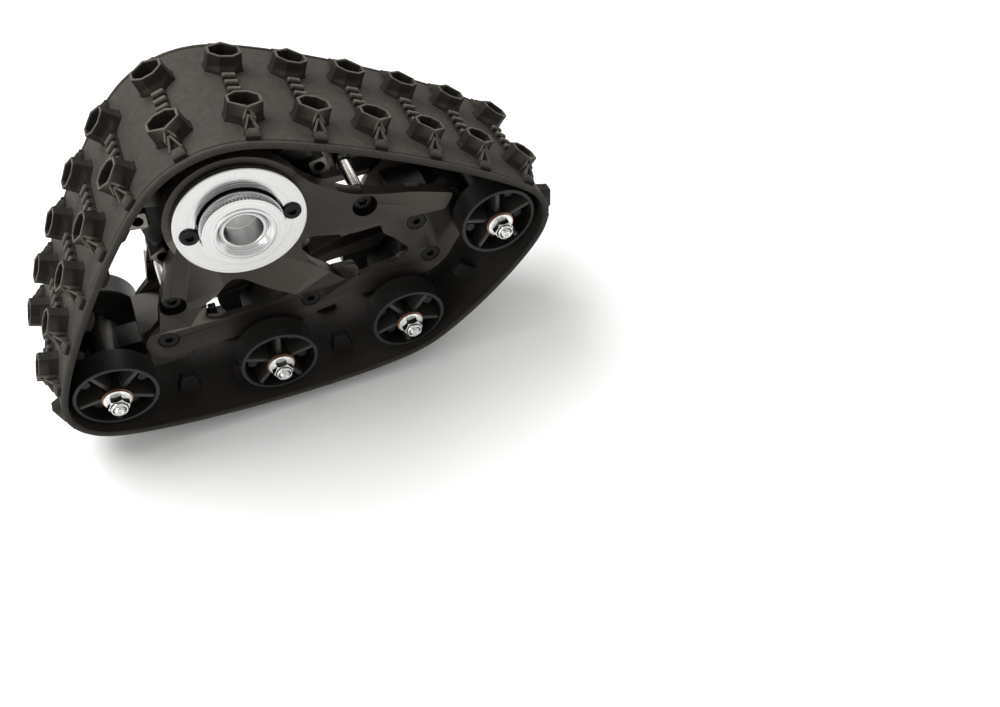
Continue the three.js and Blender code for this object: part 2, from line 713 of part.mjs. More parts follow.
// long adjusting screw behind a carrier tongue, with its nut at the far end
function tensionScrew(tongueEnd, tip, y, z) {
  const towards = Math.sign(tip - tongueEnd);
  const start = tongueEnd + towards * GAP;
  const shank = rodAlong(TENSION_SCREW_R, Math.min(start, tip), Math.max(start, tip), y, z);
  const headEnd = tip - towards * TENSION_HEAD_LENGTH;
  const head = rodAlong(TENSION_HEAD_R, Math.min(headEnd, tip), Math.max(headEnd, tip), y, z, 6);
  return shaped(shank, [head], []);
}

function crossRod(centre) {
  return ringAcross(ROD_R, SCREW_HOLE_R, centre, -HEAD_BACK + GAP, HEAD_BACK - GAP, 16);
}

function rodScrew(side, centre) {
  const top = HEAD_FACE - ROD_HEAD_SUNK;
  const head = COUNTERBORE_FLOOR + 0.1;
  const profile = [
    [0, ROD_SCREW_END], [SCREW_SHANK_R, ROD_SCREW_END], [SCREW_SHANK_R, head], [ROD_HEAD_R, head],
    [ROD_HEAD_R, top], [0, top]].map(([r, d]) => [r, side * d]);
  return shaped(turned(profile, centre, 14), [], [hexSocket(centre, side, top, 0.8)]);
}

function railScrew(side, centre) {
  const body = turned(countersunk(side, 0), centre, 16);
  return shaped(body, [], [hexSocket(centre, side, RAIL_FACE - 0.1, 0.9)]);
}

// ---- assembly ----
addPiece('belt', belt(), 'rubber');
addPiece('outer_side_plate', sidePlate(OUTBOARD), 'anodised');
addPiece('inner_side_plate', sidePlate(INBOARD), 'anodised');
addPiece('outer_hub_flange', hubFlange(OUTBOARD), 'polished');
addPiece('inner_hub_flange', hubFlange(INBOARD), 'polished');
addPiece('flange_screw_front', flangeScrew(OUTBOARD, FLANGE_SCREW_AT), 'black_steel');
addPiece('flange_screw_rear', flangeScrew(OUTBOARD, -FLANGE_SCREW_AT), 'black_steel');
addPiece('outer_drive_bearing', driveBearing(OUTBOARD), 'steel');
addPiece('inner_drive_bearing', driveBearing(INBOARD), 'steel');
addPiece('knurled_hub', knurledHub(), 'polished');
addPiece('drive_sleeve', driveSleeve(), 'polished');
addPiece('outer_sprocket_disc', sprocketDisc(OUTBOARD), 'black_alloy');
addPiece('inner_sprocket_disc', sprocketDisc(INBOARD), 'black_alloy');
for (let i = 0; i < BAR_COUNT; i += 1) {
  addPiece(`sprocket_bar_${i + 1}`, sprocketBar(i), 'black_alloy');
}
Object.entries(AXLES).forEach(([name, centre], i) => {
  addPiece(`${name}_axle`, axle(centre), 'steel');
  const turn = 0.35 + i * 0.55;
  addPiece(`${name}_wheel_outer`, wheel(OUTBOARD, centre, turn), 'plastic');
  addPiece(`${name}_wheel_inner`, wheel(INBOARD, centre, turn + 0.3), 'plastic');
  addPiece(`${name}_nut_outer`, lockNut(OUTBOARD, centre), 'steel');
  addPiece(`${name}_nut_inner`, lockNut(INBOARD, centre), 'steel');
});
addPiece('front_block', frontBlock(), 'black_alloy');
addPiece('middle_block', middleBlock(), 'black_alloy');
addPiece('rear_block', rearBlock(), 'black_alloy');
addPiece('front_carrier', carrier(AXLES.front, FRONT_TONGUE_END), 'black_alloy');
addPiece('rear_carrier', carrier(AXLES.rear, REAR_TONGUE_END), 'black_alloy');
addPiece('front_tension_screw', tensionScrew(FRONT_TONGUE_END, FRONT_SCREW_TIP, 0, AXLES.front[1]), 'steel');
addPiece('rear_tension_screw_outer',
  tensionScrew(REAR_TONGUE_END, REAR_SCREW_TIP, -REAR_SCREW_OFFSET, AXLES.rear[1]), 'black_steel');
addPiece('rear_tension_screw_inner',
  tensionScrew(REAR_TONGUE_END, REAR_SCREW_TIP, REAR_SCREW_OFFSET, AXLES.rear[1]), 'black_steel');
['front', 'rear'].forEach((name, i) => {
  addPiece(`${name}_cross_rod`, crossRod(ROD_HOLES[i]), 'steel');
  addPiece(`${name}_rod_screw`, rodScrew(OUTBOARD, ROD_HOLES[i]), 'black_steel');
});
RAIL_SCREWS.forEach((place, i) => {
  addPiece(`rail_screw_${i + 1}`, railScrew(OUTBOARD, place), 'black_steel');
});

// stand the unit on Z = 0 with its bounding box centred on the origin
const box = new THREE.Box3().setFromObject(unit);
const centre = box.getCenter(new THREE.Vector3());
for (const mesh of unit.children) {
  mesh.geometry.translate(-centre.x, -centre.y, -box.min.z);
}

export default unit;
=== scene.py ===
"""Looks for the rubber track unit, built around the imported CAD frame.

Pieces are worked out in millimetres about their own axle: X forward, Z up, Y across the unit
(outboard is -Y), and turned into metres when their mesh is made.
"""
import math

import bmesh
import bpy
from mathutils import Matrix, Vector

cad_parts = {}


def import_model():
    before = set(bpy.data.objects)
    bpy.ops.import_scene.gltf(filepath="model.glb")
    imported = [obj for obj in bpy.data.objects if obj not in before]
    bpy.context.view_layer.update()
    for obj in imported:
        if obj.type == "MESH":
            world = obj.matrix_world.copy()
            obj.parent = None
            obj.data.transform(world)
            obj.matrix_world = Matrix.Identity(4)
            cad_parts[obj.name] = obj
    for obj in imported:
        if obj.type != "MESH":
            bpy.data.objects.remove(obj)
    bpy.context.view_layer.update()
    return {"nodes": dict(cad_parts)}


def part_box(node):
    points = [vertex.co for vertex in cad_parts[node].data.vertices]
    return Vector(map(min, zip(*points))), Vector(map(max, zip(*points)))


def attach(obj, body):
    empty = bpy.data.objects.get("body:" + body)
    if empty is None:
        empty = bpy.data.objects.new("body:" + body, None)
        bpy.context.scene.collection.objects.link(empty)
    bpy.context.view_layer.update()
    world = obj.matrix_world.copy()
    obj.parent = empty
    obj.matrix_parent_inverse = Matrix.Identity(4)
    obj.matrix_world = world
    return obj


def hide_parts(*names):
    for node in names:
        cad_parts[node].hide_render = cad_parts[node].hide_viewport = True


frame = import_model()

MM = 0.001
OUTBOARD = -1
INBOARD = 1
TAU = 2 * math.pi
SLOT_GAP = 0.3


# ---- places taken from the frame, in millimetres ----
def box_mm(node):
    low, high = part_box(node)
    return [v / MM for v in low], [v / MM for v in high]


def centre_of(node):
    low, high = box_mm(node)
    return (low[0] + high[0]) / 2, (low[2] + high[2]) / 2


def depths(node):
    """Inner and outer depth of a node on one side, measured from the middle of the unit."""
    low, high = box_mm(node)
    return sorted((abs(low[1]), abs(high[1])))


DRIVE = centre_of("knurled_hub")
AXLE_NAMES = ("front", "bogie_front", "bogie_rear", "rear")
AXLES = {name: centre_of(f"{name}_wheel_outer") for name in AXLE_NAMES}
HOLDER = {
    "front": "front_tensioner",
    "bogie_front": "frame",
    "bogie_rear": "frame",
    "rear": "rear_tensioner",
}


def from_drive(x, z):
    return DRIVE[0] + x, DRIVE[1] + z


# ---- solids: a pair of vertex and face lists ----
def loft(rings, capped=True):
    """Closed solid through rings of equally many points. Without caps, the last ring joins the first."""
    count = len(rings[0])
    last = len(rings) - 1
    verts = [tuple(point) for ring in rings for point in ring]
    pairs = [(r, r + 1) for r in range(last)]
    if not capped:
        pairs.append((last, 0))
    faces = []
    for r, s in pairs:
        for i in range(count):
            j = (i + 1) % count
            faces.append((r * count + i, r * count + j, s * count + j, s * count + i))
    if capped:
        faces.append(tuple(range(count)))
        faces.append(tuple(range(last * count, (last + 1) * count)))
    return verts, faces


def round_row(radius, y, segments):
    """Points of a circle about Y."""
    return [
        (radius * math.cos(TAU * i / segments), y, radius * math.sin(TAU * i / segments))
        for i in range(segments)]


def lathe(profile, segments=48):
    """Solid turned about Y. Profile points are (radius, y); one that starts on the axis is capped."""
    rings = [round_row(radius, y, segments) for radius, y in profile if radius > 0]
    return loft(rings, capped=profile[0][0] == 0)


def prism(points, low, high):
    """An X-Z outline given thickness across the unit."""
    return loft([[(x, y, z) for x, z in points] for y in (low, high)])


def block(x, y, z):
    low = [(x[0], y[0], z[0]), (x[1], y[0], z[0]), (x[1], y[1], z[0]), (x[0], y[1], z[0])]
    return loft([low, [(a, b, z[1]) for a, b, _ in low]])


def rod_x(radius, low, high, y, z, segments, chamfer):
    """Bar along X with chamfered ends."""
    small = radius - chamfer
    rings = []
    for x, r in ((low, small), (low + chamfer, radius), (high - chamfer, radius), (high, small)):
        rings.append([
            (x, y + r * math.cos(TAU * i / segments), z + r * math.sin(TAU * i / segments))
            for i in range(segments)])
    return loft(rings)


def merged(*solids):
    verts, faces = [], []
    for part_verts, part_faces in solids:
        base = len(verts)
        verts.extend(part_verts)
        faces.extend(tuple(base + i for i in face) for face in part_faces)
    return verts, faces


def shifted(solid, x=0.0, y=0.0, z=0.0):
    return [(a + x, b + y, c + z) for a, b, c in solid[0]], solid[1]


def spun(solid, angle):
    """Turned about Y, from X towards Z."""
    cos, sin = math.cos(angle), math.sin(angle)
    return [(x * cos - z * sin, y, x * sin + z * cos) for x, y, z in solid[0]], solid[1]


def mirrored(solid):
    return [(x, -y, z) for x, y, z in solid[0]], [tuple(reversed(face)) for face in solid[1]]


def on_side(solid, side):
    """A solid drawn with its depth along +Y, put on one side of the unit."""
    return solid if side == INBOARD else mirrored(solid)


def circle(radius, segments, x=0.0, z=0.0):
    return [
        (x + radius * math.cos(TAU * i / segments), z + radius * math.sin(TAU * i / segments))
        for i in range(segments)]


def rounded(points, steps=6):
    """Outline whose corners with a third number are rounded back by that reach."""
    path = []
    count = len(points)
    for i, corner in enumerate(points):
        here = Vector(corner[:2])
        if len(corner) < 3:
            path.append(tuple(here))
            continue
        ends = []
        for other in (points[i - 1], points[(i + 1) % count]):
            step = Vector(other[:2]) - here
            ends.append(here + step * min(corner[2] / step.length, 0.45))
        for k in range(steps + 1):
            t = k / steps
            path.append(tuple(ends[0] * (1 - t) ** 2 + here * 2 * t * (1 - t) + ends[1] * t * t))
    return path


# ---- meshes ----
def mesh_of(name, solid):
    mesh = bpy.data.meshes.new(name)
    mesh.from_pydata([(x * MM, y * MM, z * MM) for x, y, z in solid[0]], [], solid[1])
    edit = bmesh.new()
    edit.from_mesh(mesh)
    bmesh.ops.recalc_face_normals(edit, faces=edit.faces)
    edit.to_mesh(mesh)
    edit.free()
    return mesh


def carved(name, base, joined=(), common=(), removed=()):
    """Boolean result of one solid: others are joined to it, kept in common with it, then taken from it."""
    target = bpy.data.objects.new(name, mesh_of(name, base))
    bpy.context.scene.collection.objects.link(target)
    helpers = []
    for operation, solids in (("UNION", joined), ("INTERSECT", common), ("DIFFERENCE", removed)):
        for solid in solids:
            helper = bpy.data.objects.new("helper", mesh_of("helper", solid))
            bpy.context.scene.collection.objects.link(helper)
            helpers.append(helper)
            step = target.modifiers.new("step", "BOOLEAN")
            step.operation = operation
            step.object = helper
            step.solver = "MANIFOLD"
    evaluated = target.evaluated_get(bpy.context.evaluated_depsgraph_get())
    mesh = bpy.data.meshes.new_from_object(evaluated)
    mesh.name = name
    for made in [target, *helpers]:
        bpy.data.objects.remove(made)
    return mesh


def carved_on(side, name, base, joined=(), removed=()):
    """The same for solids drawn with their depth along +Y, put on one side of the unit."""
    return carved(
        name, on_side(base, side), joined=[on_side(solid, side) for solid in joined],
        removed=[on_side(solid, side) for solid in removed])


def solid_of(mesh):
    return [tuple(v.co / MM) for v in mesh.vertices], [tuple(p.vertices) for p in mesh.polygons]


def softened(mesh, width, segments=2, angle=30, weld=0.02):
    """Merges flat faces and rounds every edge sharper than the angle. Width in millimetres."""
    edit = bmesh.new()
    edit.from_mesh(mesh)
    bmesh.ops.remove_doubles(edit, verts=edit.verts, dist=weld * MM)
    bmesh.ops.dissolve_limit(
        edit, angle_limit=math.radians(1.5), verts=edit.verts, edges=edit.edges,
        use_dissolve_boundaries=False)
    limit = math.radians(angle)
    sharp = [e for e in edit.edges if len(e.link_faces) == 2 and e.calc_face_angle(0.0) > limit]
    bmesh.ops.bevel(
        edit, geom=sharp, offset=width * MM, segments=segments, profile=0.5, affect="EDGES",
        clamp_overlap=True, miter_outer="ARC", miter_inner="SHARP")
    bmesh.ops.recalc_face_normals(edit, faces=edit.faces)
    edit.to_mesh(mesh)
    edit.free()
    return mesh


def piece(name, mesh, material, body, replaced=(), centre=(0.0, 0.0), smooth=38,
          weighted=True):
    """Makes an object of the mesh, places it, gives it its finish and lets it ride on a body."""
    obj = bpy.data.objects.new(name, mesh)
    bpy.context.scene.collection.objects.link(obj)
    mesh.shade_smooth()
    mesh.set_sharp_from_angle(angle=math.radians(smooth))
    if weighted:
        normals = obj.modifiers.new("face_weighted_normals", "WEIGHTED_NORMAL")
        normals.keep_sharp = True
    mesh.materials.clear()
    for one in material if isinstance(material, (list, tuple)) else [material]:
        mesh.materials.append(one)
    obj.location = (centre[0] * MM, 0, centre[1] * MM)
    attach(obj, body)
    if replaced:
        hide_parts(*replaced)
    return obj


def flattened(mesh, wide=8.0):
    """Keeps the broad flat faces of a milled part flat; only its rounded edges stay smooth."""
    for face in mesh.polygons:
        if abs(face.normal.y) > 0.999 or face.area > wide * MM * MM:
            face.use_smooth = False


# ---- materials ----
class Nodes:
    """Short way to wire a Principled material."""

    def __init__(self, name):
        self.material = bpy.data.materials.new(name)
        self.material.use_nodes = True
        self.tree = self.material.node_tree
        self.shader = self.tree.nodes["Principled BSDF"]
        self.place = self.tree.nodes.new("ShaderNodeTexCoord").outputs["Object"]

    def new(self, kind, **settings):
        node = self.tree.nodes.new(kind)
        for key, value in settings.items():
            setattr(node, key, value)
        return node

    def link(self, source, target):
        self.tree.links.new(source, target)

    def noise(self, scale, detail=3.0, roughness=0.6, stretch=None):
        node = self.new("ShaderNodeTexNoise")
        node.inputs["Scale"].default_value = scale
        node.inputs["Detail"].default_value = detail
        node.inputs["Roughness"].default_value = roughness
        if stretch:
            mapping = self.new("ShaderNodeMapping")
            mapping.inputs["Scale"].default_value = stretch
            self.link(self.place, mapping.inputs["Vector"])
            self.link(mapping.outputs["Vector"], node.inputs["Vector"])
        else:
            self.link(self.place, node.inputs["Vector"])
        return node.outputs["Fac"]

    def rings(self, scale):
        """Noise that changes only with the distance from the object's Y axis, as a lathe leaves it."""
        flat = self.new("ShaderNodeVectorMath", operation="MULTIPLY")
        flat.inputs[1].default_value = (1, 0, 1)
        self.link(self.place, flat.inputs[0])
        length = self.new("ShaderNodeVectorMath", operation="LENGTH")
        self.link(flat.outputs["Vector"], length.inputs[0])
        node = self.new("ShaderNodeTexNoise", noise_dimensions="1D")
        node.inputs["Scale"].default_value = scale
        node.inputs["Detail"].default_value = 2.0
        self.link(length.outputs["Value"], node.inputs["W"])
        return node.outputs["Fac"]

    def ramp(self, source, low, high, start=0.35, end=0.65):
        """Colours between two limits of a texture."""
        node = self.new("ShaderNodeValToRGB")
        node.color_ramp.elements[0].position = start
        node.color_ramp.elements[1].position = end
        node.color_ramp.elements[0].color = (*low, 1)
        node.color_ramp.elements[1].color = (*high, 1)
        self.link(source, node.inputs["Fac"])
        return node.outputs["Color"]

    def span(self, source, low, high, start=0.3, end=0.7):
        node = self.new("ShaderNodeMapRange")
        node.inputs["From Min"].default_value = start
        node.inputs["From Max"].default_value = end
        node.inputs["To Min"].default_value = low
        node.inputs["To Max"].default_value = high
        self.link(source, node.inputs["Value"])
        return node.outputs["Result"]

    def mix(self, share, first, second):
        node = self.new("ShaderNodeMix", data_type="RGBA")
        self.link(share, node.inputs["Factor"])
        for source, socket in ((first, node.inputs[6]), (second, node.inputs[7])):
            if isinstance(source, tuple):
                socket.default_value = (*source, 1)
            else:
                self.link(source, socket)
        return node.outputs[2]

    def bump(self, source, depth, strength=1.0, under=None):
        node = self.new("ShaderNodeBump")
        node.inputs["Distance"].default_value = depth * MM
        node.inputs["Strength"].default_value = strength
        self.link(source, node.inputs["Height"])
        if under:
            self.link(under, node.inputs["Normal"])
        return node.outputs["Normal"]

    def edges(self, low=0.52, high=0.6):
        """Share of paleness on convex edges: partly worn bare edges, partly painted edge highlight."""
        pointed = self.new("ShaderNodeNewGeometry").outputs["Pointiness"]
        return self.span(pointed, 0.0, 1.0, low, high)

    def finish(self, colour, roughness, metallic, normal=None, **constants):
        self.link(colour, self.shader.inputs["Base Color"])
        self.link(roughness, self.shader.inputs["Roughness"])
        self.shader.inputs["Metallic"].default_value = metallic
        if normal:
            self.link(normal, self.shader.inputs["Normal"])
        for key, value in constants.items():
            self.shader.inputs[key.replace("_", " ")].default_value = value
        return self.material


def rubber():
    """Dusty brown-black moulded rubber, painted paler along the rims and on the outer face: partly rubbed
    and dusty, partly painted highlight on the rims and painted light from above on the outer face.
    """
    n = Nodes("track_rubber")
    clouds = n.noise(60, 4)
    grain = n.noise(2600, 2)
    specks = n.noise(900, 3, 0.75)
    colour = n.ramp(clouds, (0.008, 0.0067, 0.0055), (0.015, 0.0127, 0.0105))
    colour = n.mix(n.span(specks, 0, 0.35, 0.6, 0.75), colour, (0.050, 0.044, 0.037))
    # Painted light: this attribute paints the outer face and the rims a paler brown, partly rubbed rubber,
    # partly painted highlight and painted light from above.
    pale_share = n.new("ShaderNodeAttribute", attribute_name="wear_and_painted_light").outputs["Fac"]
    pale_patches = n.new("ShaderNodeMath", operation="MULTIPLY")
    n.link(pale_share, pale_patches.inputs[0])
    n.link(n.span(n.noise(500, 3), 0.6, 1.0), pale_patches.inputs[1])
    colour = n.mix(pale_patches.outputs[0], colour, (0.105, 0.090, 0.073))
    normal = n.bump(grain, 0.05, 0.6, n.bump(n.noise(420, 4), 0.12, 0.5))
    return n.finish(colour, n.span(specks, 0.62, 0.82), 0.0, normal, Specular_IOR_Level=0.26)


def anodised():
    """Bead-blasted, dark bronze-grey anodised aluminium with paler edges: partly bare worn metal, partly
    painted edge highlight.
    """
    n = Nodes("anodised_plate")
    cloud = n.noise(90, 4)
    grit = n.noise(3200, 2, 0.7)
    colour = n.ramp(cloud, (0.0085, 0.0071, 0.0058), (0.0155, 0.0130, 0.0106))
    # Paler convex edges: partly bare worn metal, partly painted edge highlight.
    colour = n.mix(n.edges(0.515, 0.56), colour, (0.12, 0.105, 0.09))
    normal = n.bump(grit, 0.035, 0.7)
    return n.finish(colour, n.span(grit, 0.34, 0.46), 0.7, normal, Specular_IOR_Level=0.3)


def turned_metal():
    """Bright aluminium faced on a lathe: fine rings and a round sheen."""
    n = Nodes("turned_aluminium")
    rings = n.rings(5200)
    colour = n.ramp(rings, (0.50, 0.50, 0.495), (0.78, 0.78, 0.775))
    normal = n.bump(rings, 0.012, 0.55)
    tangent = n.new("ShaderNodeTangent", direction_type="RADIAL", axis="Y")
    n.link(tangent.outputs["Tangent"], n.shader.inputs["Tangent"])
    return n.finish(colour, n.span(rings, 0.16, 0.28), 1.0, normal, Anisotropic=0.65)


def plastic():
    """Satin black moulded nylon with a faint grain."""
    n = Nodes("wheel_nylon")
    grain = n.noise(1800, 3)
    cloud = n.noise(140, 3)
    colour = n.ramp(cloud, (0.005, 0.0047, 0.0043), (0.010, 0.0093, 0.0082))
    # Paler convex edges: partly worn, partly painted edge highlight.
    colour = n.mix(n.edges(0.53, 0.62), colour, (0.035, 0.0325, 0.029))
    normal = n.bump(grain, 0.03, 0.5)
    return n.finish(colour, n.span(cloud, 0.36, 0.5), 0.0, normal, Specular_IOR_Level=0.3)


def zinc():
    """Bright plated steel."""
    n = Nodes("plated_steel")
    cloud = n.noise(700, 3)
    colour = n.ramp(cloud, (0.62, 0.62, 0.61), (0.86, 0.86, 0.85))
    return n.finish(colour, n.span(cloud, 0.12, 0.26), 1.0, n.bump(n.noise(2500, 2), 0.01, 0.4))


def bronze():
    """Copper-tinted washer under the nuts."""
    n = Nodes("bronze_washer")
    rings = n.rings(3000)
    colour = n.ramp(rings, (0.30, 0.15, 0.09), (0.46, 0.25, 0.15))
    return n.finish(colour, n.span(rings, 0.25, 0.42), 1.0, n.bump(rings, 0.01, 0.4))


def drawn_steel():
    """Ground rod with fine lines round it."""
    n = Nodes("ground_steel")
    lines = n.noise(400, 4, 0.7, (0.2, 26, 0.2))
    colour = n.ramp(lines, (0.5, 0.48, 0.44), (0.78, 0.75, 0.70))
    return n.finish(colour, n.span(lines, 0.16, 0.32), 1.0, n.bump(lines, 0.02, 0.4))


def black_oxide():
    """Blackened screw steel, paler on its edges: partly rubbed, partly painted edge highlight."""
    n = Nodes("black_oxide_steel")
    cloud = n.noise(1300, 3)
    colour = n.ramp(cloud, (0.005, 0.0048, 0.0045), (0.013, 0.0122, 0.0115))
    # Paler convex edges: partly rubbed, partly painted edge highlight.
    colour = n.mix(n.edges(0.54, 0.64), colour, (0.10, 0.095, 0.09))
    normal = n.bump(cloud, 0.02, 0.4)
    return n.finish(colour, n.span(cloud, 0.28, 0.42), 0.6, normal, Specular_IOR_Level=0.3)


def black_alloy():
    """Black anodised machined alloy with long tool marks."""
    n = Nodes("black_machined_alloy")
    marks = n.noise(260, 3, 0.6, (1, 1, 14))
    colour = n.ramp(marks, (0.005, 0.0046, 0.0042), (0.010, 0.0092, 0.0085))
    # Paler convex edges: partly worn, partly painted edge highlight.
    colour = n.mix(n.edges(0.53, 0.6), colour, (0.13, 0.12, 0.11))
    return n.finish(colour, n.span(marks, 0.3, 0.44), 0.75, n.bump(marks, 0.02, 0.4))


def bare_alloy():
    """Saw-cut bar ends left bright."""
    n = Nodes("bare_cut_alloy")
    marks = n.noise(900, 3, 0.7, (9, 1, 1))
    colour = n.ramp(marks, (0.12, 0.11, 0.095), (0.26, 0.24, 0.21))
    return n.finish(colour, n.span(marks, 0.28, 0.45), 1.0, n.bump(marks, 0.03, 0.5))


def studio_white():
    n = Nodes("studio_floor")
    cloud = n.noise(3, 2)
    colour = n.ramp(cloud, (0.90, 0.90, 0.895), (0.93, 0.93, 0.925))
    return n.finish(colour, n.span(cloud, 0.75, 0.85), 0.0, Specular_IOR_Level=0.2)


RUBBER = rubber()
ANODISED = anodised()
TURNED = turned_metal()
PLASTIC = plastic()
ZINC = zinc()
BRONZE = bronze()
GROUND = drawn_steel()
OXIDE = black_oxide()
ALLOY = black_alloy()
BARE = bare_alloy()

# ---- belt ----
BELT_RADII = {"drive": 28.9, "front": 14.0, "bogie_front": 12.0, "bogie_rear": 9.6, "rear": 13.4}
BELT_SOFTNESS = 4.0
BELT_HALF_WIDTH = 22.9
BELT_THICKNESS = 1.6
LUG_ROWS = 23
STATIONS_PER_ROW = 12
FIRST_ROW_ANGLE = math.radians(77)
TREAD_HEIGHT = 5.0
TREAD_ROOT = 1.0
CUP_OFFSET = 11.2
RUNG_OFFSETS = (-4.8, -1.6, 1.6, 4.8)
RUNG_SIZE = (3.5, 1.5)
LUG_SPAN = (7.4, 11.6)
LUG_HEIGHT = 6.0
FINE_STEPS = 2880
# How pale the rubber is painted: the outer face paler than the inner as painted light from above, and the
# ramps paler still.
OUTSIDE_PAINTED_LIGHT, INSIDE_PAINTED_LIGHT, RAMP_PALENESS = 0.38, 0.08, 0.75


def belt_point(angle, offset):
    """Point of a smooth wrap round the drive axis and the axles, and its outward direction."""
    out = Vector((math.cos(angle), math.sin(angle)))
    along = Vector((-out.y, out.x))
    centres = [Vector(DRIVE), *(Vector(AXLES[name]) for name in AXLE_NAMES)]
    radii = [BELT_RADII["drive"], *(BELT_RADII[name] for name in AXLE_NAMES)]
    reach = [(out.dot(c) + r) / BELT_SOFTNESS for c, r in zip(centres, radii)]
    top = max(reach)
    weights = [math.exp(value - top) for value in reach]
    total = sum(weights)
    height = BELT_SOFTNESS * (top + math.log(total)) + offset
    slide = sum(w * along.dot(c) for w, c in zip(weights, centres)) / total
    return out * height + along * slide, out


def belt_stations(count):
    """Angles that step evenly along the belt's inner path, from one lug row onwards."""
    samples = []
    travelled = 0.0
    for i in range(FINE_STEPS + 1):
        angle = FIRST_ROW_ANGLE + TAU * i / FINE_STEPS
        point = belt_point(angle, 0)[0]
        if samples:
            travelled += (point - samples[-1][1]).length
        samples.append((angle, point, travelled))
    stations = []
    at = 0
    for k in range(count):
        wanted = travelled * k / count
        while samples[at + 1][2] < wanted:
            at += 1
        a, b = samples[at], samples[at + 1]
        stations.append(a[0] + (b[0] - a[0]) * (wanted - a[2]) / (b[2] - a[2]))
    return stations


def belt_section():
    """Closed section across the belt: (across, height above the inner face), with a beaded edge."""
    half = BELT_HALF_WIDTH
    top = BELT_THICKNESS
    outer = [(half, 0.35), (half, top - 0.2), (half - 0.25, top + 0.05), (half - 0.9, top + 0.05),
             (half - 1.1, top - 0.22), (half - 1.45, top - 0.22), (half - 1.65, top), (6.0, top)]
    inner = [(half - 1.5, 0.0), (half - 1.2, -0.25), (half - 0.3, -0.25)]
    far_outer = [(-across, height) for across, height in reversed(outer)]
    far_inner = [(-across, height) for across, height in reversed(inner)]
    return outer + far_outer + far_inner + inner


def belt_band(stations):
    rings = []
    section = belt_section()
    for angle in stations:
        ring = []
        for across, height in section:
            point, _ = belt_point(angle, height)
            ring.append((point.x, across, point.y))
        rings.append(ring)
    return loft(rings, capped=False)


def bar(start, end, width, depth):
    """Straight rib hung from the line start to end, with its width level and square to that line."""
    a, b = Vector(start), Vector(end)
    side = (b - a).cross(Vector((0, 0, 1))).normalized() * (width / 2)
    down = Vector((0, 0, -depth))
    ends = []
    for point in (a, b):
        corners = (point - side, point + side, point + side + down, point - side + down)
        ends.append([tuple(corner) for corner in corners])
    return loft(ends)


def across(y, half, low, high, half_high=None):
    """Upright four-cornered row of points at one place across the belt, evenly about X = 0."""
    top = half if half_high is None else half_high
    return [(-half, y, low), (half, y, low), (top, y, high), (-top, y, high)]


def cup_outline(inset):
    """Seven-cornered cup plan: (along the belt, outward across it)."""
    long = 4.4 - inset
    flat = 1.5 - inset * 0.3
    wide = 4.1 - inset * 1.3
    strip = 1.7 - inset * 0.2
    inner = 3.5 - inset
    return [
        (long, -flat), (long, flat), (0, wide), (-long, flat), (-long, -flat),
        (-strip, -inner), (strip, -inner)]


def tread_cup():
    """Hollow cup with a flared foot, a rounded rim and a floor above the band."""
    wall = 0.8
    floor = 1.4
    steps = [
        (-0.6, -TREAD_ROOT), (-0.6, 0.0), (-0.3, 0.5), (-0.15, 1.4), (-0.05, 2.8),
        (0.0, TREAD_HEIGHT - 0.3), (0.12, TREAD_HEIGHT), (wall - 0.12, TREAD_HEIGHT),
        (wall, TREAD_HEIGHT - 0.3), (wall + 0.15, floor + 0.4), (wall + 0.6, floor)]
    return loft([[(x, y, height) for x, y in cup_outline(inset)] for inset, height in steps])


def edge_wedge():
    """Ramp from a cup to the belt edge: two stacked open triangles on a body, ending in a low block."""
    top, knee, foot, edge = 3.3, 5.4, 8.3, 10.2  # distances outward from the cup's centre
    body = loft([
        across(top, 0.55, -TREAD_ROOT, TREAD_HEIGHT - 2.0), across(foot, 1.5, -TREAD_ROOT, 0.3)])
    low_block = loft([
        across(foot - 0.4, 1.65, -TREAD_ROOT, 1.75, 1.55), across(edge, 1.85, -TREAD_ROOT, 0.95, 1.75)])
    ribs = []
    for side in (-1, 1):
        peak = (0.2 * side, top, TREAD_HEIGHT - 0.1)
        ribs.append(bar(peak, (1.45 * side, knee + 0.4, 3.2), 0.55, 2.6))
        ribs.append(bar((0.2 * side, knee - 0.4, 3.7), (1.6 * side, foot, 1.85), 0.55, 2.4))
    return merged(body, low_block, *ribs)


def ladder():
    """Strip between the two cups of a row, with rounded rungs across it."""
    half_long, half_wide = RUNG_SIZE[0] / 2, RUNG_SIZE[1] / 2
    parts = [block((-1.7, 1.7), (-8.6, 8.6), (-TREAD_ROOT, 0.6))]
    for y in RUNG_OFFSETS:
        rings = []
        for inset, height in ((0.0, -TREAD_ROOT), (0.0, 1.2), (0.2, 1.8), (0.45, 2.0)):
            x = half_long * (1 - inset / 3)
            reach = half_wide * (1 - inset / 1.2)
            rings.append([
                (-x, y - reach, height), (x, y - reach, height),
                (x, y + reach, height), (-x, y + reach, height)])
        parts.append(loft(rings))
    return merged(*parts)


def drive_lug():
    """Tapered lug that reaches in from the belt's inner face."""
    base = -BELT_THICKNESS + 0.6
    tip = -BELT_THICKNESS - LUG_HEIGHT
    near, far = LUG_SPAN
    rings = []
    for height, half, inset in ((base, 3.9, -0.5), (base - 0.9, 3.3, -0.1), (base - 1.6, 3.05, 0.1),
                                (tip + 0.5, 2.25, 0.5), (tip, 1.75, 0.9)):
        rings.append([
            (-half, near + inset, height), (half, near + inset, height),
            (half, far - inset, height), (-half, far - inset, height)])
    return loft(rings)


def lug_row():
    """One row of tread and drive lugs; X along the belt, Y across it, Z out from its outer face."""
    one_side = merged(shifted(merged(tread_cup(), edge_wedge()), y=CUP_OFFSET), drive_lug())
    return merged(ladder(), one_side, mirrored(one_side))


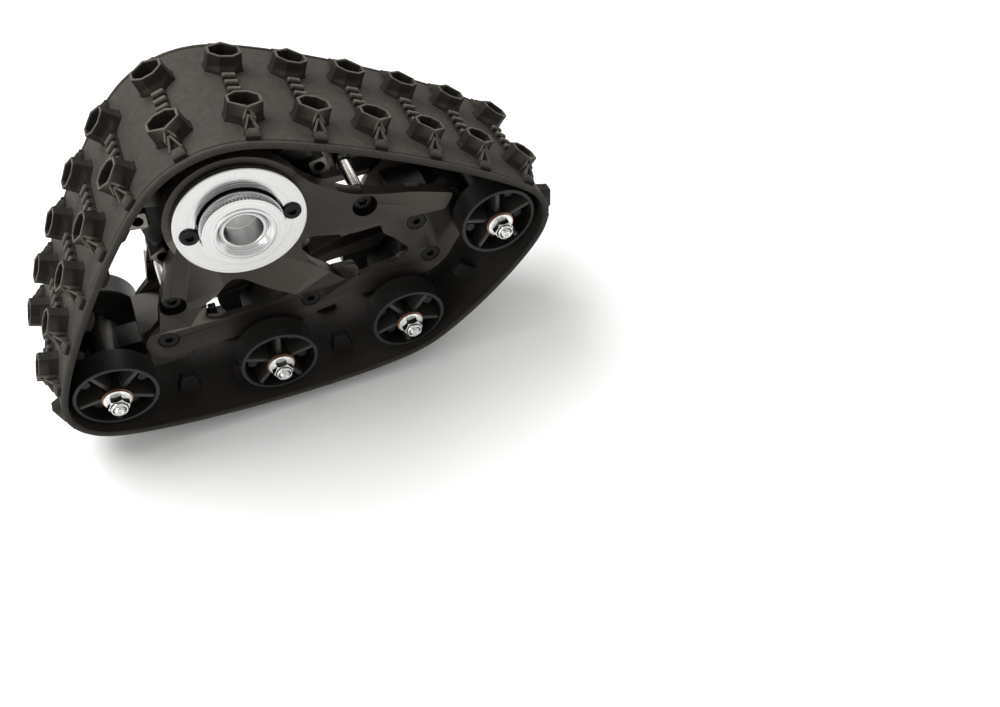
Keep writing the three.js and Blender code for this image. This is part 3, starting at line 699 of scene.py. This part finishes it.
def tread_paleness(x, y, z):
    """How far a point of a lug row is painted pale: rims and rung tops, partly rubbed and partly painted
    highlight, and the ramps towards the edge.
    """
    if z > TREAD_HEIGHT - 0.05:
        return 1.0
    if abs(y) < 7.6:
        return max(0.0, min(1.0, (z - 1.1) / 0.6))
    if abs(y) > CUP_OFFSET + 3.2 and z > 1.6:
        return RAMP_PALENESS
    return 0.0


def belt():
    stations = belt_stations(LUG_ROWS * STATIONS_PER_ROW)
    parts = [belt_band(stations)]
    # Painted light: the outer face of the band is painted paler than the inner face.
    band_painted_light = [OUTSIDE_PAINTED_LIGHT if height > 0.5 else INSIDE_PAINTED_LIGHT for _, height in belt_section()]
    wear_and_painted_light = band_painted_light * len(stations)
    row = lug_row()
    row_paleness = [tread_paleness(*point) for point in row[0]]
    for k in range(LUG_ROWS):
        seat, out = belt_point(stations[k * STATIONS_PER_ROW], BELT_THICKNESS)
        along = Vector((out.y, -out.x))
        verts = []
        for x, y, z in row[0]:
            place = seat + along * x + out * z
            verts.append((place.x, y, place.y))
        parts.append((verts, row[1]))
        wear_and_painted_light.extend(row_paleness)
    mesh = mesh_of("belt_rubber", merged(*parts))
    shade = mesh.attributes.new("wear_and_painted_light", "FLOAT", "POINT")
    shade.data.foreach_set("value", wear_and_painted_light)
    piece("belt_rubber", mesh, RUBBER, "frame", ["belt"], smooth=32)


# ---- side plates ----
HEAD_R = 20.0
PLATE_BORE_R = 12.6
FLANGE_SCREW_AT = 13.85
FLANGE_SCREW_R = 2.6
SCREW_HOLE_R = 1.55
FRONT_LEG = [
    (8, 18.3), (14.5, 13.8), (20.8, 5.6, 3), (30.9, -1.6, 4), (40.5, -4.5), (49.8, -6.6, 3),
    (61.8, -10.9, 1.5), (59, -16.4, 1.5), (46.3, -15.6), (37.4, -15.9), (29.6, -16.2, 3),
    (18.2, -13, 2), (15.2, -14.2, 1.5), (14.4, -17.6), (4, -10)]
MID_LEG = [
    (-8, -16), (-5.9, -21.2), (-3.4, -21.9, 1.5), (3.8, -29.3, 3), (10.2, -34.2),
    (21.6, -28.9), (16.6, -23.6, 3), (14.5, -18.8, 2), (14.4, -17.6), (8, -8)]
MID_LEG_END = [(10.2, -34.2), (21.6, -28.9), (26.4, -36.9), (13, -40.4)]
REAR_LEG = [
    (-18.6, -6), (-22.4, -11.3), (-25.4, -19.3), (-28.2, -27.4), (-16.6, -28.4), (-12.2, -26),
    (-8.1, -21.9, 1.5), (-5.9, -21.2), (-4, -10)]
REAR_LEG_END = [(-28.2, -27.4), (-16.6, -28.4), (-21.4, -38.2), (-30.4, -37.0)]
RAIL = [
    (50, -8.4), (62, -11.6), (65, -13.8, 2), (66.5, -24, 3), (65, -31.2), (59, -41.7, 4),
    (50, -45.2, 4), (26, -46), (9, -48.4), (-18, -48.4), (-30, -49.6, 3), (-35, -45.8, 3),
    (-35.5, -40, 3), (-29.5, -34), (-23, -33), (-15.3, -32), (-16.9, -37, 2), (-13, -38.8, 2),
    (3, -38.4), (9, -36.4), (12, -33), (23.5, -31.2), (29.8, -31.6, 1.5), (31.2, -34, 1.5),
    (30.4, -37.3, 1), (44, -35.4, 2), (48.2, -32.2, 2), (43.4, -25.8), (39.8, -22.4, 1.5),
    (39.8, -18.5, 1.5), (43, -14)]
RAIL_SCREWS = [(50.7, -21.5), (54.6, -36.5), (14.8, -41.1), (-28.7, -41.6)]
ROD_HOLES = [(34.6, -7.1), (-24.0, -25.3)]
HEAD_BACK, HEAD_FACE = 9.7, 13.7
RAIL_BACK, RAIL_FACE = 8.2, 10.4
SCREW_HEAD_R = 2.95
SHANK_R = 1.25
COUNTERBORE_R = 3.7
COUNTERBORE_FLOOR = 10.6
PLATE_EDGE = 0.3


def leg_end(corners):
    """Lower end of a leg, sloping from the head's face down to the rail."""
    faces = (HEAD_FACE, HEAD_FACE, RAIL_FACE + 0.2, RAIL_FACE + 0.2)
    top = [(x, depth, z) for (x, z), depth in zip(corners, faces)]
    floor = [(x, RAIL_BACK + 0.8, z) for x, z in corners]
    return loft([top, floor])


def drilled(radius, centre, low, high, segments=32):
    return prism(circle(radius, segments, *centre), low, high)


def countersink(centre):
    low, high = RAIL_BACK - 1, HEAD_FACE + 1
    wide = SCREW_HEAD_R + 0.15
    profile = [
        (0, low), (SCREW_HOLE_R, low), (SCREW_HOLE_R, RAIL_FACE - 1.9), (wide, RAIL_FACE - 0.25),
        (wide, high), (0, high)]
    return shifted(lathe(profile, 32), x=centre[0], z=centre[1])


def side_plate(name, side):
    head = prism(circle(HEAD_R, 96), HEAD_BACK, HEAD_FACE)
    joined = [prism(rounded(points), HEAD_BACK, HEAD_FACE) for points in (FRONT_LEG, MID_LEG, REAR_LEG)]
    joined.append(prism(rounded(RAIL), RAIL_BACK, RAIL_FACE))
    joined.extend([leg_end(MID_LEG_END), leg_end(REAR_LEG_END)])
    through = (RAIL_BACK - 1, HEAD_FACE + 1)
    removed = [drilled(PLATE_BORE_R, (0, 0), *through, 96)]
    for x in (-FLANGE_SCREW_AT, FLANGE_SCREW_AT):
        removed.append(drilled(SCREW_HOLE_R, (x, 0), *through))
    for hole in ROD_HOLES:
        removed.append(drilled(SCREW_HOLE_R, hole, *through))
        removed.append(drilled(COUNTERBORE_R, hole, COUNTERBORE_FLOOR, HEAD_FACE + 1, 48))
    removed.extend(countersink(place) for place in RAIL_SCREWS)
    mesh = carved_on(side, name, head, joined, removed)
    softened(mesh, PLATE_EDGE, 2, 12)
    piece(f"{name}_metal", mesh, ANODISED, "frame", [name], DRIVE, weighted=False)
    flattened(mesh)


# ---- drive hub ----
FLANGE_R = 18.0
FLANGE_BORE_R = 11.75
HUB_BORE_R = 5.2
HUB_NECK_R = 11.2
HUB_LIP_R = 8.35
KNURL_R = 11.45
KNURL_TEETH = 72
KNURL_ROWS = 17
KNURL_DEPTH = 0.54
SLEEVE_R = 8.0


def flange(name, side):
    back, face = depths(name)
    profile = [
        (12.6, back), (FLANGE_R - 0.4, back), (FLANGE_R, back + 0.3), (FLANGE_R, face - 0.45),
        (FLANGE_R - 0.1, face - 0.15), (FLANGE_R - 0.4, face), (FLANGE_BORE_R + 0.35, face),
        (FLANGE_BORE_R + 0.1, face - 0.15), (FLANGE_BORE_R, face - 0.4), (FLANGE_BORE_R, back + 0.3)]
    removed = []
    for x in (-FLANGE_SCREW_AT, FLANGE_SCREW_AT):
        removed.append(drilled(SCREW_HOLE_R, (x, 0), back - 1, face + 1))
        removed.append(drilled(FLANGE_SCREW_R + 0.12, (x, 0), back + 0.5, face + 1, 48))
    mesh = carved_on(side, name, lathe(profile, 128), removed=removed)
    piece(f"{name}_turned", mesh, TURNED, "frame", [name], DRIVE, smooth=25)


def socket_screw(name, node, side, profile, socket_r, socket_depth, place):
    """Turned screw with a hexagonal socket; the inboard ones have no node of their own."""
    top = profile[-1][1]
    socket = prism(circle(socket_r, 6), top - socket_depth, top + 1)
    mesh = carved_on(side, name, lathe(profile, 40), removed=[socket])
    piece(name, mesh, OXIDE, "frame", [node] if side == OUTBOARD else (), place)


def cap_screw(name, node, side, head_r, head_height, socket_r, place, sunk=0.0):
    """Round-headed screw standing in a counterbore."""
    low, high = depths(node)
    high -= sunk
    head = high - head_height
    profile = [
        (0, low), (SHANK_R, low), (SHANK_R, head), (head_r - 0.1, head), (head_r, head + 0.1),
        (head_r, high - 0.3), (head_r - 0.1, high - 0.1), (head_r - 0.3, high), (0, high)]
    socket_screw(name, node, side, profile, socket_r, 0.8, place)


def flat_screw(name, node, side, place):
    """Countersunk screw, flush with the rail."""
    low, high = depths(node)
    profile = [
        (0, low), (SHANK_R, low), (SHANK_R, high - 1.7), (2.7, high - 0.2), (2.8, high - 0.12),
        (2.75, high - 0.02), (2.6, high), (0, high)]
    socket_screw(name, node, side, profile, 1.25, 1.0, place)


def knurl_band(low, high):
    """Diamond knurl: rings of points pushed in along two crossing helices."""
    columns = KNURL_TEETH * 4

    def zigzag(value):
        return abs((value % 1.0) - 0.5) * 2

    rings = []
    for j in range(KNURL_ROWS):
        rise = (high - low) * j / (KNURL_ROWS - 1)
        lean = rise / (TAU * KNURL_R / KNURL_TEETH)
        ring = []
        for i in range(columns):
            turn = i * KNURL_TEETH / columns
            angle = TAU * i / columns
            r = KNURL_R - KNURL_DEPTH * min(1.0, zigzag(turn + lean) + zigzag(turn - lean))
            ring.append((r * math.cos(angle), low + rise, r * math.sin(angle)))
        rings.append(ring)
    return rings


def knurled_hub():
    """Knurled collar standing proud of the flange, with a raised lip round a funnel into the bore."""
    back, top = depths("knurled_hub")
    foot = depths("outer_hub_flange")[1] + 1.0
    shelf = top - 0.4
    neck = [
        (HUB_BORE_R, back), (HUB_NECK_R - 0.2, back), (HUB_NECK_R, back + 0.2),
        (HUB_NECK_R, foot - 0.1), (HUB_NECK_R + 0.15, foot), (KNURL_R - 0.1, foot + 0.05)]
    lip = [
        (KNURL_R - 0.25, shelf - 0.1), (KNURL_R - 0.5, shelf - 0.02), (HUB_LIP_R + 0.5, shelf + 0.04),
        (HUB_LIP_R + 0.15, shelf + 0.1), (HUB_LIP_R, shelf + 0.22), (HUB_LIP_R - 0.08, top - 0.08),
        (HUB_LIP_R - 0.3, top), (HUB_LIP_R - 0.75, top), (HUB_LIP_R - 0.95, top - 0.12)]
    funnel = [
        (6.05, top - 1.75), (5.95, top - 1.7), (5.85, top - 1.55), (5.6, top - 1.5), (5.35, top - 1.6),
        (HUB_BORE_R, top - 1.8)]
    rings = [round_row(r, y, KNURL_TEETH * 4) for r, y in neck]
    rings.extend(knurl_band(foot + 0.12, shelf - 0.2))
    rings.extend(round_row(r, y, KNURL_TEETH * 4) for r, y in lip + funnel)
    mesh = mesh_of("knurled_hub_turned", on_side(loft(rings, capped=False), OUTBOARD))
    piece("knurled_hub_turned", mesh, TURNED, "sprocket", ["knurled_hub"], DRIVE, smooth=30)


def sleeve():
    low, high = box_mm("drive_sleeve")
    a, b = low[1], high[1]
    profile = [
        (HUB_BORE_R, a + 0.2), (HUB_BORE_R + 0.2, a), (SLEEVE_R - 0.2, a), (SLEEVE_R, a + 0.2),
        (SLEEVE_R, b - 0.3), (SLEEVE_R - 0.3, b), (HUB_BORE_R + 0.4, b), (HUB_BORE_R, b - 0.4)]
    mesh = mesh_of("drive_sleeve_turned", lathe(profile, 72))
    piece("drive_sleeve_turned", mesh, TURNED, "sprocket", ["drive_sleeve"], DRIVE)


def bearing(name, side):
    """Ball bearing seen from its end: two races with a shield set back between them."""
    inner, outer = depths(name)
    solids = []
    for near, far, inset in ((8.3, 9.2, 0.0), (9.35, 11.25, 0.25), (11.4, 12.3, 0.0), (9.0, 11.6, 1.0)):
        a, b = inner + inset, outer - inset
        solids.append(lathe([(near, a), (far, a), (far, b), (near, b)], 72))
    mesh = mesh_of(name, on_side(merged(*solids), side))
    piece(f"{name}_race", mesh, ZINC, "frame", [name], DRIVE)


# ---- sprocket ----
BAR_COUNT = 11
BAR_PHASE = math.radians(12)
BAR_R = 25.3
BAR_SIZE = 5.0
DISC_BORE_R = 8.3
WINDOW_R, WINDOW_AT = 3.1, 15.5


def sprocket_disc(name, side):
    inner, outer = depths(name)
    seat = BAR_SIZE / 2 + SLOT_GAP
    ring = lathe([(DISC_BORE_R, inner), (BAR_R, inner), (BAR_R, outer), (DISC_BORE_R, outer)], 88)
    removed = []
    for i in range(BAR_COUNT):
        angle = BAR_PHASE + TAU * i / BAR_COUNT
        notch = block((BAR_R - seat, BAR_R + seat), (inner - 1, outer + 1), (-seat, seat))
        removed.append(spun(notch, angle))
        window = drilled(WINDOW_R, (WINDOW_AT, 0), inner - 1, outer + 1, 24)
        removed.append(spun(window, angle + TAU / BAR_COUNT / 2))
    mesh = carved_on(side, name, ring, removed=removed)
    softened(mesh, 0.2, 1)
    piece(f"{name}_machined", mesh, ALLOY, "sprocket", [name], DRIVE)


def sprocket_bars():
    low, high = box_mm("sprocket_bar_1")
    half = BAR_SIZE / 2
    reach = high[1]
    square = [(-half, -half, 0.7), (half, -half, 0.7), (half, half, 0.7), (-half, half, 0.7)]
    base = prism(rounded(square, 3), -reach, reach)
    hole = drilled(1.5, (0, 0), -reach - 1, reach + 1, 24)
    for i in range(BAR_COUNT):
        node = f"sprocket_bar_{i + 1}"
        mesh = carved(node, base, removed=[hole])
        softened(mesh, 0.18, 1, 40)
        angle = BAR_PHASE + TAU * i / BAR_COUNT
        mesh.transform(Matrix.Rotation(-angle, 4, "Y") @ Matrix.Translation((BAR_R * MM, 0, 0)))
        obj = piece(f"{node}_cut", mesh, [ALLOY, BARE], "sprocket", [node], DRIVE)
        for face in obj.data.polygons:
            if abs(face.normal.y) > 0.9:
                face.material_index = 1


# ---- wheels ----
WHEEL_R = 12.06
RIM_INNER_R = 10.8
WHEEL_BORE_R = 1.9
SPOKES = 5
PEG_AT = 8.3
FIRST_SPOKE, SPOKE_STEP, INBOARD_STEP = 0.35, 0.55, 0.3
NUT_ACROSS_FLATS = 5.5
THREAD_COLUMNS = 24


def wheel_profile(back, face, web):
    rim = RIM_INNER_R
    return [
        (WHEEL_BORE_R, back), (WHEEL_R - 0.35, back), (WHEEL_R, back + 0.35), (WHEEL_R, face - 0.4),
        (WHEEL_R - 0.12, face - 0.12), (WHEEL_R - 0.4, face), (rim + 0.35, face),
        (rim + 0.1, face - 0.12), (rim, face - 0.35), (rim - 0.25, web + 0.4), (rim - 0.7, web),
        (4.2, web), (3.8, web + 0.4), (3.6, face - 0.75), (3.5, face - 0.5), (3.3, face - 0.4),
        (WHEEL_BORE_R, face - 0.4)]


def spoke(web, edge):
    """Tapered spoke along X with a fillet at each end."""
    rings = []
    for y, half in ((web - 0.5, 1.0), (web + 0.5, 0.8), (edge - 0.2, 0.65), (edge, 0.45)):
        rings.append([(3.2, y, -half), (11.0, y, -half), (11.0, y, half), (3.2, y, half)])
    parts = [loft(rings)]
    for reach in (3.7, 10.3):
        near, far = reach - 0.6, reach + 0.6
        foot = web - 0.3
        root = [(near, foot, -1.5), (far, foot, -1.5), (far, foot, 1.5), (near, foot, 1.5)]
        parts.append(loft([root, [(x, edge - 0.5, z * 0.55) for x, _, z in root]]))
    return merged(*parts)


def wheel(axle, index, side):
    node = f"{axle}_wheel_{'outer' if side == OUTBOARD else 'inner'}"
    back, face = depths(node)
    web = back + 1.4
    turn = FIRST_SPOKE + index * SPOKE_STEP + (INBOARD_STEP if side == INBOARD else 0.0)
    peg = lathe([(0, web - 0.4), (1.75, web - 0.4), (1.65, web + 2.6), (1.4, web + 2.9), (0, web + 2.9)], 20)
    parts = [lathe(wheel_profile(back, face, web), 72)]
    for k in range(SPOKES):
        angle = turn + TAU * k / SPOKES
        parts.append(spun(spoke(web, face - 0.7), angle))
        parts.append(spun(shifted(peg, x=PEG_AT), angle + TAU / SPOKES / 2))
    mesh = mesh_of(node, on_side(merged(*parts), side))
    piece(f"{node}_moulded", mesh, PLASTIC, f"{node}_body", [node], AXLES[axle])


def hexagon(seat):
    """Nut body whose corners are turned off by a cone, with a clear bore."""
    corner = NUT_ACROSS_FLATS / math.sqrt(3)
    cone = [
        (0, seat + 0.4), (corner + 0.1, seat + 0.4), (corner + 0.1, seat + 3.2), (2.72, seat + 3.75),
        (0, seat + 3.75)]
    return solid_of(carved(
        "nut", prism(circle(corner, 6), seat + 0.8, seat + 3.7), common=[lathe(cone, 48)],
        removed=[drilled(1.8, (0, 0), seat - 1, seat + 6)]))


def nut(axle, side):
    """Flanged lock nut with a crimped collar, on a bronze washer."""
    end = "outer" if side == OUTBOARD else "inner"
    node = f"{axle}_nut_{end}"
    seat, top = depths(node)
    base = seat + 0.35
    flange_profile = [
        (1.8, base), (3.75, base), (3.95, base + 0.2), (3.9, base + 0.45), (3.4, seat + 0.95),
        (2.9, seat + 1.15), (1.8, seat + 1.15)]
    collar_profile = [
        (1.95, seat + 3.3), (2.55, seat + 3.3), (2.6, top - 0.9), (2.5, top - 0.35), (2.25, top - 0.05),
        (2.1, top), (1.95, top - 0.1), (1.85, top - 0.5), (1.85, seat + 3.3)]
    solids = merged(hexagon(seat), lathe(flange_profile, 48), lathe(collar_profile, 48))
    mesh = mesh_of(node, on_side(solids, side))
    piece(f"{node}_plated", mesh, ZINC, HOLDER[axle], [node], AXLES[axle], smooth=30)
    washer_profile = [(1.75, seat), (4.25, seat), (4.35, seat + 0.1), (4.3, base), (1.75, base)]
    washer = f"{axle}_washer_{end}"
    mesh = mesh_of(washer, on_side(lathe(washer_profile, 48), side))
    piece(washer, mesh, BRONZE, HOLDER[axle], centre=AXLES[axle])


def thread(radius, low, high, depth, columns, pitch=0.5):
    """Rings of a real helical thread."""
    rings = []
    rows = int((high - low) / pitch * 4)
    for j in range(rows + 1):
        y = low + (high - low) * j / rows
        ring = []
        for i in range(columns):
            phase = (y / pitch - i / columns) % 1.0
            angle = TAU * i / columns
            r = radius - depth * abs(phase - 0.5) * 2
            ring.append((r * math.cos(angle), y, r * math.sin(angle)))
        rings.append(ring)
    return rings


def axle_pin(axle):
    """Shouldered axle with a real thread at both ends and a small centre drilling."""
    name = f"{axle}_axle"
    end = depths(name)[1]
    shoulder = ((2.4, 0.0), (2.4, 11.5), (2.1, 11.8), (1.5, 11.8), (1.5, 20.6))
    drilling = ((1.1, end), (0.75, end), (0.3, end - 0.5))
    half = [round_row(r, y, THREAD_COLUMNS) for r, y in shoulder]
    half.extend(thread(1.5, 20.9, end - 0.3, 0.22, THREAD_COLUMNS))
    half.extend(round_row(r, y, THREAD_COLUMNS) for r, y in drilling)
    other = [[(x, -y, z) for x, y, z in points] for points in reversed(half)]
    mesh = mesh_of(name, loft(other + half[1:]))
    piece(f"{name}_threaded", mesh, ZINC, HOLDER[axle], [name], AXLES[axle])


# ---- inner structure ----
def refined(node, body):
    """The CAD solid of a machined part with its flat faces merged and its edges rounded."""
    mesh = frame["nodes"][node].data.copy()
    mesh.materials.clear()
    if "custom_normal" in mesh.attributes:
        mesh.attributes.remove(mesh.attributes["custom_normal"])
    softened(mesh, 0.35, 2, 35, 0.01)
    piece(f"{node}_machined", mesh, ALLOY, body, [node])


def tension_screw(node, body):
    """Long adjusting screw with a hexagonal head, threaded all along."""
    low, high = box_mm(node)
    y, z = (low[1] + high[1]) / 2, (low[2] + high[2]) / 2
    front = node.startswith("front")
    head_at, into, tail = (low[0], 1, high[0]) if front else (high[0], -1, low[0])
    start = head_at + into * 2.0
    head_end = head_at + into * 2.4
    rings = thread(1.25, min(start, tail), max(start, tail), 0.2, 20)
    shank = loft([[(py, y + px, z + pz) for px, py, pz in points] for points in rings])
    head = rod_x(2.3, min(head_at, head_end), max(head_at, head_end), y, z, 6, 0.2)
    mesh = mesh_of(node, merged(shank, head))
    material, slot = (ZINC, "steel") if front else (OXIDE, "black_steel")
    piece(f"{node}_threaded", mesh, material, body, [node], smooth=25)


def cross_rod(name, hole):
    """Ground rod between the plates with a black collar at each end."""
    node = f"{name}_cross_rod"
    reach = depths(node)[1]
    rod_r, collar_r = 2.0, 2.6
    profile = [(1.55, -reach), (rod_r, -reach), (rod_r, reach), (1.55, reach)]
    piece(f"{node}_ground", mesh_of(node, lathe(profile, 32)), GROUND, "frame", [node], hole)
    bore = rod_r + 0.02
    collar = lathe([
        (bore, reach - 3.0), (collar_r - 0.15, reach - 3.0), (collar_r, reach - 2.8),
        (collar_r, reach - 0.2), (collar_r - 0.2, reach - 0.02), (bore, reach - 0.02)], 32)
    mesh = mesh_of(f"{name}_collars", merged(mirrored(collar), collar))
    piece(f"{name}_rod_collars", mesh, OXIDE, "frame", centre=hole)


# ---- assembly ----
belt()
side_plate("outer_side_plate", OUTBOARD)
side_plate("inner_side_plate", INBOARD)
for label, side in (("outer", OUTBOARD), ("inner", INBOARD)):
    flange(f"{label}_hub_flange", side)
    bearing(f"{label}_drive_bearing", side)
    sprocket_disc(f"{label}_sprocket_disc", side)
knurled_hub()
sleeve()
sprocket_bars()
for end, side in (("", OUTBOARD), ("_inboard", INBOARD)):
    for label, x in (("front", FLANGE_SCREW_AT), ("rear", -FLANGE_SCREW_AT)):
        node = f"flange_screw_{label}"
        cap_screw(f"{node}_black{end}", node, side, FLANGE_SCREW_R, 1.55, 1.25, from_drive(x, 0))
    for label, (x, z) in zip(("front", "rear"), ROD_HOLES):
        node = f"{label}_rod_screw"
        cap_screw(f"{node}_black{end}", node, side, 2.75, 0.85, 1.5, from_drive(x, z), sunk=0.5)
    for number, (x, z) in enumerate(RAIL_SCREWS, 1):
        node = f"rail_screw_{number}"
        flat_screw(f"{node}_black{end}", node, side, from_drive(x, z))
for index, axle in enumerate(AXLE_NAMES):
    axle_pin(axle)
    for side in (OUTBOARD, INBOARD):
        wheel(axle, index, side)
        nut(axle, side)
for label, (x, z) in zip(("front", "rear"), ROD_HOLES):
    cross_rod(label, from_drive(x, z))
for node in ("front_block", "middle_block", "rear_block"):
    refined(node, "frame")
refined("front_carrier", "front_tensioner")
refined("rear_carrier", "rear_tensioner")
tension_screw("front_tension_screw", "front_tensioner")
tension_screw("rear_tension_screw_outer", "rear_tensioner")
tension_screw("rear_tension_screw_inner", "rear_tensioner")


# ---- studio ----
def floor():
    mesh = bpy.data.meshes.new("floor")
    edit = bmesh.new()
    bmesh.ops.create_grid(edit, x_segments=8, y_segments=8, size=3.0)
    edit.to_mesh(mesh)
    edit.free()
    obj = bpy.data.objects.new("floor", mesh)
    mesh.materials.append(studio_white())
    bpy.context.scene.collection.objects.link(obj)


def softbox(name, place, size, watts, target=(0.0, 0.0, 0.05)):
    data = bpy.data.lights.new(name, "AREA")
    data.shape = "RECTANGLE"
    data.size, data.size_y = size
    data.energy = watts
    lamp = bpy.data.objects.new(name, data)
    lamp.location = place
    lamp.rotation_euler = (Vector(target) - Vector(place)).to_track_quat("-Z", "Y").to_euler()
    bpy.context.scene.collection.objects.link(lamp)


CAMERA_FROM_DRIVE = (-11.96, 169.49)
CAMERA_DEPTH = 207.64
CAMERA_TURN = (38.991, -1.263, -23.495)
CAMERA_LENS = 32.845
WORLD_STRENGTH = 0.62


def camera():
    data = bpy.data.cameras.new("camera")
    data.sensor_width = 36.0
    data.lens = CAMERA_LENS
    data.clip_start = 0.01
    eye = bpy.data.objects.new("camera", data)
    x, z = from_drive(*CAMERA_FROM_DRIVE)
    eye.location = (x * MM, -CAMERA_DEPTH * MM, z * MM)
    eye.rotation_euler = [math.radians(angle) for angle in CAMERA_TURN]
    bpy.context.scene.collection.objects.link(eye)
    bpy.context.scene.camera = eye


def world():
    sky = bpy.data.worlds.new("studio")
    sky.use_nodes = True
    light = sky.node_tree.nodes["Background"]
    light.inputs["Color"].default_value = (1.0, 0.995, 0.985, 1)
    light.inputs["Strength"].default_value = WORLD_STRENGTH
    bpy.context.scene.world = sky


floor()
softbox("key_above", (-0.30, 0.25, 0.80), (0.7, 0.5), 8.0)
softbox("fill_left", (-0.8, -0.35, 0.45), (0.5, 0.5), 1.5)
softbox("back_strip", (0.5, 0.7, 0.5), (0.9, 0.25), 1.5)
world()
camera()
bpy.context.scene.view_settings.view_transform = "Standard"
